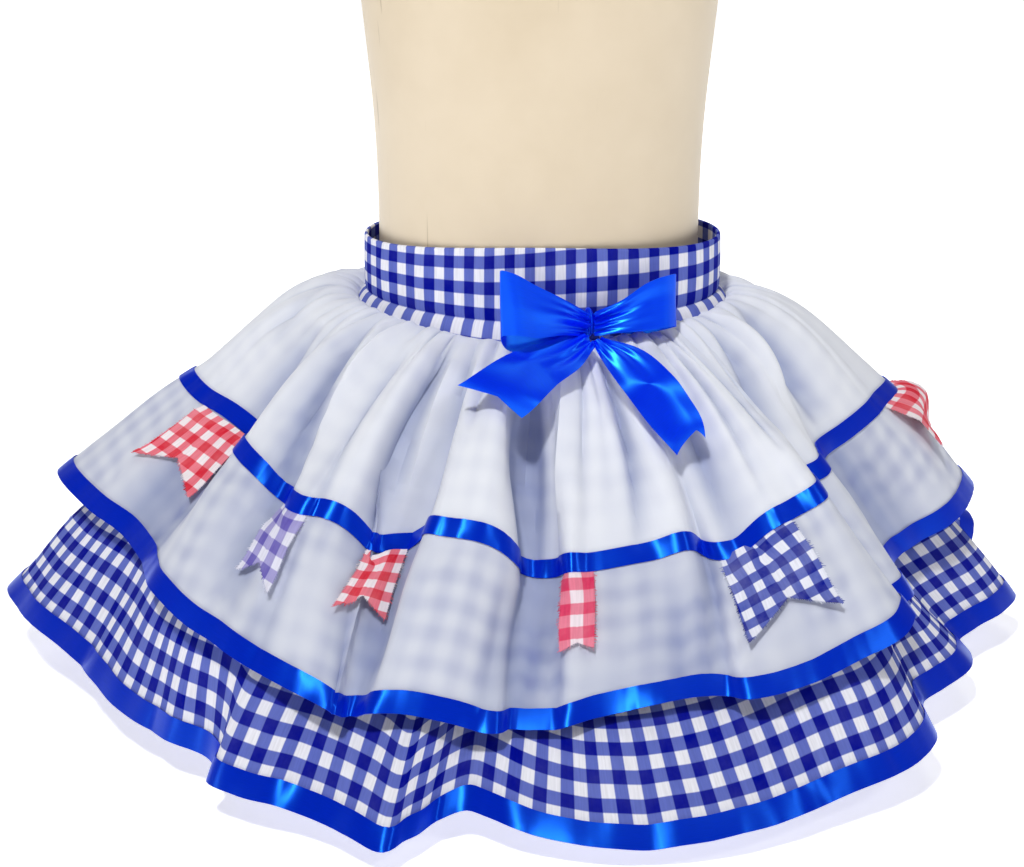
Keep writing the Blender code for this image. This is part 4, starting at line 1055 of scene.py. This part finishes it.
# Flags: swallow-tailed gingham caught under the upper ribbon.
flagTones = {
    "red": (tint(250, 238, 242), tint(240, 118, 134), tint(226, 30, 56)),
    "pink": (tint(248, 232, 240), tint(238, 128, 152), tint(226, 52, 98)),
    "lilac": (tint(232, 232, 248), tint(166, 160, 216), tint(104, 92, 184)),
    "blue": (tint(236, 238, 250), tint(84, 98, 184), tint(6, 24, 146)),
}
flags = {
    "gap": 0.9, "wall": 0.35, "columns": 26, "rows": 30,
    "threadWidth": 0.26, "threadLength": (0.5, 1.9), "threadStep": 0.7,
    "bulge": {"flagRedLeftSide": 10.0},
    "rayStart": 60.0, "rayLength": 110.0,  # rays start this far outside a point and run this far in
    "leastGap": 0.3, "hangGap": 1.6, "hangFrom": 0.15,  # gap at the ribbon, what is added, where
    "stiffness": 0.8, "stiffFrom": 0.5,  # how much a row moves out as one, and from where
    "levelling": 0.85, "levelFrom": 0.4, "curlFrom": 0.72, "easings": 6,
    "rootLift": 0.2, "riseOver": 6.0,  # how it leaves the ribbon
    "rippleAcross": (0.35, 5.0), "rippleDown": (0.2, 9.0), "rippleFrom": 0.12, "leastLift": -0.2,
    # first and last line, lean of both edges, length, depth of the notch, how far the tips stand
    # off, colour, check, curl of the tips, turn of the check
    "list": [
        ("flagRedRightSide", 2.2, 4.05, (-0.3, 0.0), 44, 13, 1.5, "red", 6.0, 1.5, 0.05),
        ("flagLilacRight", 7.0, 8.6, (-0.2, -0.1), 42, 11, 1.5, "lilac", 6.6, 1.0, -0.03),
        ("flagRedRightFront", 10.85, 13.0, (-0.8, 0.4), 42, 10, 1.0, "red", 5.8, 1.2, 0.0),
        ("flagPinkFront", 21.75, 23.05, (0.3, -0.05), 41, 4, 1.5, "pink", 6.4, 0.6, 0.0),
        ("flagBlueLeftFront", 27.15, 29.65, (0.5, 0.35), 51, 15, 2.0, "blue", 5.6, 3.5, 0.06),
        ("flagRedLeftSide", 38.9, 40.6, (0.0, 0.0), 34, 11, 0.8, "red", 6.0, 0.3, 0.0),
        ("flagBlueBackLeft", 47.1, 48.8, (0.2, 0.2), 46, 14, 1.5, "blue", 6.0, 1.8, 0.04),
        ("flagRedBackLeft", 51.1, 52.9, (0.3, 0.3), 44, 12, 1.5, "red", 6.0, 1.4, -0.04),
        ("flagLilacBack", 55.1, 56.7, (0.0, 0.0), 44, 15, 1.5, "lilac", 6.2, 1.6, 0.02),
        ("flagRedBackRight", 59.1, 60.9, (-0.2, -0.2), 45, 13, 1.5, "red", 6.0, 1.2, 0.05),
        ("flagBlueBackRight", 63.1, 64.9, (-0.3, -0.3), 46, 11, 1.5, "blue", 6.0, 2.0, -0.05),
    ],
}


def voileSpot(line, down):  # point and normal of the voile a distance below the upper ribbon
    whole = overCloth["whole"]
    lines = overCloth["lines"]
    count = len(lines)
    spot = np.interp(line % whole, np.append(lines, whole), np.arange(count + 1))
    first = int(spot)
    found = []
    for column, share in ((first % count, 1.0 - spot + first), ((first + 1) % count, spot - first)):
        distances = overCloth["down"][column]
        row = np.interp(overCloth["lineDown"][column] + down, distances, np.arange(len(distances)))
        low = min(int(row), len(distances) - 2)
        part = row - low
        pair = [overCloth[kind][column, low] * (1 - part) + overCloth[kind][column, low + 1] * part
                for kind in ("grid", "normals")]
        found.append((pair[0] * share, pair[1] * share))
    return found[0][0] + found[1][0], unit(found[0][1] + found[1][1])


voileTree = BVHTree.FromPolygons(overCloth["grid"].reshape(-1, 3).tolist(),
                                 gridFaces(*overCloth["grid"].shape[:2], True).tolist())


def outwardFrom(spots):
    return unit(spots * [1.0, 1.0, 0.0])


def pushNeeded(spots, gaps):  # how far out each point has to move to clear the voile
    needed = np.zeros(spots.shape[:2])
    away = outwardFrom(spots)
    for column, row in np.ndindex(needed.shape):
        start = Vector(spots[column, row] + away[column, row] * flags["rayStart"])
        inward = Vector(-away[column, row])
        hit, _, _, distance = voileTree.ray_cast(start, inward, flags["rayLength"])
        if hit is not None:
            needed[column, row] = max(0.0, flags["rayStart"] - distance + gaps[row])
    return needed


def makeFlag(name, firstLine, lastLine, leans, length, notch, stand, colour, cell, curl, turn):
    columns, rows = flags["columns"], flags["rows"]
    grid = np.zeros((columns + 1, rows + 1, 3))
    cut = np.zeros((columns + 1, rows + 1))

    def spotAt(across, share, down):
        first, last = firstLine + leans[0] * share, lastLine + leans[1] * share
        spot, normal = voileSpot(first + across * (last - first), down)
        rise = min(1.0, max(0.0, (down + 1.0) / flags["riseOver"])) ** 1.5
        clear = flags["rootLift"] + (flags["gap"] + flags["wall"]) * rise
        return spot + normal * (clear + stand * share)

    for row in range(rows + 1):
        share = row / rows
        lying, taut = np.zeros((columns + 1, 3)), np.zeros((columns + 1, 3))
        for column in range(columns + 1):
            across = column / columns
            down = -1.0 + (length - notch * (1 - abs(2 * across - 1)) + 1.0) * share
            lying[column] = spotAt(across, share, down)
            taut[column] = spotAt(0.0, share, down) * (1 - across) + spotAt(1.0, share, down) * across
            cut[column, row] = down
        tautReach = np.linalg.norm(taut[:, :2], axis=1)
        short = np.linalg.norm(lying[:, :2], axis=1) - tautReach
        level = taut * (1.0 + max(0.0, short.max()) / tautReach)[:, None] ** [1, 1, 0]
        taut = np.where(short[:, None] < 0, taut, lying)
        flat = min(1.0, share / flags["levelFrom"]) ** 2 * flags["levelling"]
        grid[:, row] = taut * (1 - flat) + level * flat
    for _ in range(flags["easings"]):  # ease the folds where the cloth leaves the voile
        inner = (grid[:-2, 1:-1] + grid[2:, 1:-1] + grid[1:-1, :-2] + grid[1:-1, 2:]) / 4
        grid[1:-1, 1:-1] = grid[1:-1, 1:-1] * 0.5 + inner * 0.5
    shares = np.linspace(0.0, 1.0, rows + 1)[None, :]
    stiff = np.clip(shares / flags["stiffFrom"], 0.0, 1.0) * flags["stiffness"]
    hanging = np.clip(shares[0] / flags["hangFrom"], 0.0, 1.0)
    needed = pushNeeded(grid, flags["leastGap"] + flags["hangGap"] * hanging)
    push = needed * (1 - stiff) + needed.max(axis=0)[None, :] * stiff
    for axis in (0, 1):
        push = np.apply_along_axis(eased, axis, push, 2)
    grid = grid + outwardFrom(grid) * push[..., None]
    normals = outwardNormals(grid, False)
    sides = np.linspace(-1.0, 1.0, columns + 1)[:, None]
    draw = random.Random(sum(ord(letter) for letter in name))
    phase = draw.uniform(0, 6.28)
    (wide, wideTurn), (tall, tallTurn) = flags["rippleAcross"], flags["rippleDown"]
    ripple = wide * np.sin(sides * wideTurn + phase) * shares + tall * np.sin(shares * tallTurn + phase)
    tips = np.clip((shares - flags["curlFrom"]) / (1.0 - flags["curlFrom"]), 0, 1)
    lift = ripple * (shares > flags["rippleFrom"]) + curl * tips ** 2 * (0.3 + 0.7 * np.abs(sides) ** 2)
    bulge = flags["bulge"].get(name, 0.0)
    outerEdge = 0.06 + 0.94 * (0.5 + 0.5 * sides) ** 1.2
    lift = lift + bulge * np.sin(math.pi * shares ** 0.8) ** 1.3 * outerEdge
    grid = grid + normals * np.maximum(lift, flags["leastLift"])[..., None]
    width = np.linalg.norm(np.diff(grid[:, 3:], axis=0), axis=-1).sum(axis=0).mean()
    acrossUv = np.broadcast_to((sides * 0.5) * width, cut.shape)
    points = grid.reshape(-1, 3)
    faces = gridFaces(columns + 1, rows + 1, False)
    corners = gridCorners(acrossUv, cut)
    threads = frayedEdge(grid, acrossUv, cut, draw)
    if threads:
        extraPoints, extraUv = (np.array(part) for part in zip(*threads))
        extraFaces = np.arange(len(extraPoints) * 4).reshape(-1, 4) + len(points)
        points = np.vstack([points, extraPoints.reshape(-1, 3)])
        faces = np.vstack([faces, extraFaces])
        corners = np.vstack([corners, extraUv.reshape(-1, 2)])
    material = ginghamMaterial(name + "Gingham", flagTones[colour], (cell, cell), 0.16, turn)
    piece = meshPiece(name, points, faces, corners, material, flags["wall"])
    finishPiece(piece)


def frayedEdge(grid, acrossUv, cut, draw):  # loose thread ends: four points and four UV each
    edges = [(grid[0], grid[1], acrossUv[0], cut[0]),
             (grid[:, -1], grid[:, -2], acrossUv[:, -1], cut[:, -1]),
             (grid[-1][::-1], grid[-2][::-1], acrossUv[-1][::-1], cut[-1][::-1])]
    threads = []
    for border, inside, across, down in edges:
        along = lengthAlong(border)
        spot = 1.5
        while spot < along[-1] - 0.5:
            base, inner = (np.array([np.interp(spot, along, side[:, axis]) for axis in range(3)])
                           for side in (border, inside))
            ahead = np.array([np.interp(spot + 0.5, along, border[:, axis]) for axis in range(3)])
            heading, sideways = unit(base - inner), unit(ahead - base)
            size = draw.uniform(*flags["threadLength"]) * draw.choice([0.5, 0.8, 1.0])
            tip = base + heading * size + sideways * draw.uniform(-0.5, 0.5) * size
            half = sideways * flags["threadWidth"] / 2
            root = base - heading * 0.3
            uv = (np.interp(spot, along, across), np.interp(spot, along, down))
            threads.append(([root - half, tip - half * 0.5, tip + half * 0.5, root + half], [uv] * 4))
            spot += flags["threadStep"] * draw.uniform(0.6, 1.8)
    return threads


for entry in flags["list"]:
    makeFlag(*entry)
print("flags are caught under the ribbon")


# Bow: stations run out from the knot, as across, out from the band, up, half width and lean.
bow = {
    "bearing": 17.5, "up": 214.0, "wall": 0.45, "loopHalf": 17.0, "tailWidth": 36.0,
    "loopGrid": (120, 45), "tailGrid": (46, 25), "nearDegrees": 4.0, "nearHeight": 5.0,
    "tailPleats": [(1.1, 2.2, 14.0), (0.8, 3.6, 9.0)],  # size, turns, how fast they die out
    "tailWave": 0.5, "tailLift": 0.8,
    # pleats of the loops near the knot: turns across half the ribbon, size, how fast they die out
    "pleats": [(0.7, 0.8, 30.0), (1.3, 1.3, 18.0), (2.3, 1.3, 15.0), (3.7, 1.1, 12.0),
               (5.2, 0.9, 9.0)],
    "loopLeft": [(1.4, 7.6, 0, 6, 0.0), (16, 12.0, 6, 9, -1.0), (32, 15.5, 11, 13, -2.0),
                 (45, 16.5, 16, 15.5, -2.0), (50, 13.5, 16, 16.5, -1.0), (47, 10.0, 8, 16, 1.0),
                 (33, 8.0, 0, 13, 1.0), (16, 6.0, -4, 8, 0.5), (1.4, 3.4, -2, 5, 0.0)],
    "loopRight": [(1.4, 7.6, 0, 6, 0.0), (14, 12.0, 4, 8, -1.0), (28, 15.0, 9, 12, -2.0),
                  (39, 15.0, 11, 13, -2.0), (44, 11.5, 10, 13.5, -1.0), (40, 8.0, 7, 13, 1.0),
                  (28, 6.0, 3, 11, 1.0), (14, 5.4, 1, 7.5, 0.5), (1.4, 3.6, -1, 5, 0.0)],
    "knotHalf": (1.9, 5.2, 7.6), "knotOut": 2.4, "knotRoundness": 0.85, "knotWaist": 0.14,
    "knotPleats": [(0.06, 7.0), (0.03, 13.0)],  # size and how many round it
    # tails: bearing and height along each edge, and how far they hang clear of the voile
    "tailLeft": {"left": [(14.0, 210.0), (2.0, 207.0), (-10.0, 203.0), (-19.0, 193.0)],
                 "right": [(17.0, 205.0), (12.0, 199.0), (5.4, 192.5), (-4.4, 177.0)],
                 "clear": (2.2, 2.6, 4.0), "notch": 5.0, "notchAt": 0.5, "curl": 0.8,
                 "turn": -2.5, "seed": 4},
    "tailRight": {"left": [(15.6, 208.0), (18.0, 196.0), (21.3, 183.0), (24.6, 170.0),
                           (28.4, 158.0)],
                  "right": [(19.0, 209.0), (27.0, 205.0), (32.0, 194.0), (34.0, 180.0),
                            (34.7, 165.2)],
                  "clear": (2.2, 2.8, 4.0), "notch": 8.0, "notchAt": 0.8, "curl": 1.2,
                  "turn": 7.0, "seed": 8},
}


def bowFrame():
    bearing = math.radians(bow["bearing"])
    origin = place(bearing, bandReach(bearing, band["seamOval"]), bow["up"])
    across = np.array([math.cos(bearing), math.sin(bearing), 0.0])
    outward = np.array([math.sin(bearing), -math.cos(bearing), 0.0])
    return origin, across, outward


def makeLoop(name, stations, side, seed):
    origin, across, outward = bowFrame()
    upward = np.array([0.0, 0.0, 1.0])
    rows = smoothRun(stations, bow["loopGrid"][0])
    widths = np.linspace(1.0, -1.0, bow["loopGrid"][1])
    middles = origin + across * side * rows[:, :1] + outward * rows[:, 1:2] + upward * rows[:, 2:3]
    grid = (middles[:, None] + outward * (rows[:, 4, None, None] * widths[None, :, None])
            + upward * (rows[:, 3, None, None] * widths[None, :, None]))
    if side < 0:
        grid = grid[::-1]
        rows = rows[::-1]
    along = lengthAlong(grid[:, len(widths) // 2])
    print(name, "runs", round(along[-1]), "mm")
    fromKnot = np.minimum(along, along[-1] - along)[:, None]
    draw = random.Random(seed)
    pleats = np.zeros(grid.shape[:2])
    for turns, size, fall in bow["pleats"]:
        wave = size * np.cos(math.pi * turns * widths + draw.uniform(0, 6.28))
        fade = np.exp(-(fromKnot / fall) ** 1.3)
        pleats += wave[None, :] * fade * (1 - np.exp(-(fromKnot + 1.0) / 2.0))
    grid = grid + outwardNormals(grid, False) * pleats[..., None]
    cut = np.broadcast_to(widths * bow["loopHalf"], grid.shape[:2])
    piece = sheetPiece(name, grid, along, cut, False, materials["bow"], bow["wall"])
    finishPiece(piece)


def makeKnot():
    origin, across, outward = bowFrame()
    centre = (origin + outward * bow["knotOut"]) * mm
    deselect()
    bpy.ops.mesh.primitive_uv_sphere_add(segments=48, ring_count=32, radius=1.0)
    knot = bpy.context.object
    knot.name = "bowKnot"
    spots = np.empty(len(knot.data.vertices) * 3)
    knot.data.vertices.foreach_get("co", spots)
    spots = spots.reshape(-1, 3)
    squared = np.sign(spots) * np.abs(spots) ** bow["knotRoundness"]  # a fuller block than a ball
    angle = np.arctan2(spots[:, 0], -spots[:, 1])
    (deep, deepCount), (fine, fineCount) = bow["knotPleats"]
    pleat = 1.0 + deep * np.cos(angle * deepCount + 0.6 * spots[:, 2])
    pleat = pleat + fine * np.cos(angle * fineCount + 1.0)
    half = bow["knotHalf"]
    waist = 1.0 - bow["knotWaist"] * (1 - np.abs(spots[:, 2])) ** 2
    moved = (centre + (across * (squared[:, :1] * half[0] * pleat[:, None] * waist[:, None])
                       - outward * (squared[:, 1:2] * half[1] * pleat[:, None])) * mm)
    moved[:, 2] += spots[:, 2] * half[2] * mm
    knot.data.vertices.foreach_set("co", moved.ravel())
    knot.data.update()
    knot.data.materials.append(materials["bow"])
    finishPiece(knot, smoothDegrees=80.0)


def outermost():  # furthest reach of voile or band near a bearing and a height
    points = overCloth["grid"][::3, :lineRow:2].reshape(-1, 3)
    around = np.arctan2(points[:, 0], -points[:, 1])
    reach = np.hypot(points[:, 0], points[:, 1])
    front = np.abs(around) < math.radians(60)
    around, reach, ups = around[front], reach[front], points[front, 2]

    def reachAt(degrees, up):
        bearing = math.radians(degrees)
        near = np.abs(around - bearing) < math.radians(bow["nearDegrees"])
        near = near & (np.abs(ups - up) < bow["nearHeight"])
        found = reach[near].max() if near.any() else 0.0
        return max(found, float(bandReach(bearing, band["seamOval"])))

    return reachAt


def makeTail(name, tail, reachOf):  # spans two edges, clear of the voile
    rows, columns = bow["tailGrid"]
    edges = []
    for edge in (tail["left"], tail["right"]):
        run = smoothRun([(degrees, up, 0.0) for degrees, up in edge], rows)
        reach = eased(np.array([reachOf(degrees, up) for degrees, up, _ in run]), 5)
        edges.append(place(np.radians(run[:, 0]), reach, run[:, 1]))
    shares = np.linspace(0.0, 1.0, columns)
    grid = edges[0][None] * (1 - shares)[:, None, None] + edges[1][None] * shares[:, None, None]
    reach = np.hypot(grid[..., 0], grid[..., 1])
    push = np.zeros(rows)
    for row in range(rows):
        for column in range(0, columns, 2):
            x, y, up = grid[column, row]
            least = reachOf(math.degrees(math.atan2(x, -y)), up)
            push[row] = max(push[row], least - reach[column, row])
    push = eased(push, 5)
    clear = np.interp(np.linspace(0, 1, rows), (0, 0.3, 1), tail["clear"])
    outer = shares if tail["turn"] > 0 else 1 - shares  # the edge that stands further out
    arch = np.sin(math.pi * np.linspace(0.04, 0.86, rows))
    turned = abs(tail["turn"]) * outer[:, None] * arch[None, :]
    grid[..., :2] *= (1.0 + ((push + clear)[None, :] + turned) / reach)[..., None]
    along = lengthAlong(grid[columns // 2])
    notchAt = tail["notchAt"]
    side = np.where(shares < notchAt, shares / notchAt, (1 - shares) / (1 - notchAt))
    ends = 1.0 - tail["notch"] / along[-1] * side
    steps = np.arange(rows, dtype=float)
    for column in range(columns):
        for axis in range(3):
            grid[column, :, axis] = np.interp(steps * ends[column], steps, grid[column, :, axis])
    draw = random.Random(tail["seed"])
    phases = [draw.uniform(0, 6.28) for _ in range(3)]
    width = shares[:, None] * 2.0 - 1.0
    fromKnot = along[None, :]
    lift = np.zeros(grid.shape[:2])
    for (size, turns, fall), phase in zip(bow["tailPleats"], phases):
        lift += size * np.cos(math.pi * turns * width + phase) * np.exp(-fromKnot / fall)
    lift += tail["curl"] * width ** 2 * (fromKnot / along[-1]) ** 2
    lift += bow["tailWave"] * np.sin(fromKnot / 12.0 + width * 1.2 + phases[2])
    grid = grid + outwardNormals(grid, False) * (lift + bow["tailLift"])[..., None]
    piece = sheetPiece(name, grid, shares * bow["tailWidth"],
                       np.broadcast_to(fromKnot, grid.shape[:2]), False, materials["bow"],
                       bow["wall"])
    finishPiece(piece)


makeLoop("bowLoopLeft", bow["loopLeft"], -1.0, 2)
makeLoop("bowLoopRight", bow["loopRight"], 1.0, 9)
makeKnot()
reachOf = outermost()
makeTail("bowTailLeft", bow["tailLeft"], reachOf)
makeTail("bowTailRight", bow["tailRight"], reachOf)
print("bow is tied")


def makeFloor():
    deselect()
    bpy.ops.mesh.primitive_plane_add(size=studio["floorSide"], location=(0.0, 0.0, 0.0))
    floor = bpy.context.object
    floor.name = "studioFloor"
    material, tree, shader = newMaterial("paleFloor", 0.9, (0.93, 0.93, 0.94))
    spot = addNode(tree, "ShaderNodeTexCoord", {}).outputs["Object"]
    away = addNode(tree, "ShaderNodeVectorMath", {0: spot}, {"operation": "LENGTH"})
    glow = rangeNode(tree, away.outputs["Value"], studio["glowReach"], studio["floorGlow"], True)
    paper = noiseNode(tree, spot, 90.0, 3.0)
    colour = rampNode(tree, paper, [(0.3, (0.92, 0.92, 0.93)), (0.7, (0.95, 0.95, 0.96))])
    setInputs(tree, shader, {"Base Color": colour, "Specular IOR Level": 0.1,
                             "Emission Color": (1.0, 1.0, 1.0, 1.0), "Emission Strength": glow})
    floor.data.materials.append(material)


makeFloor()
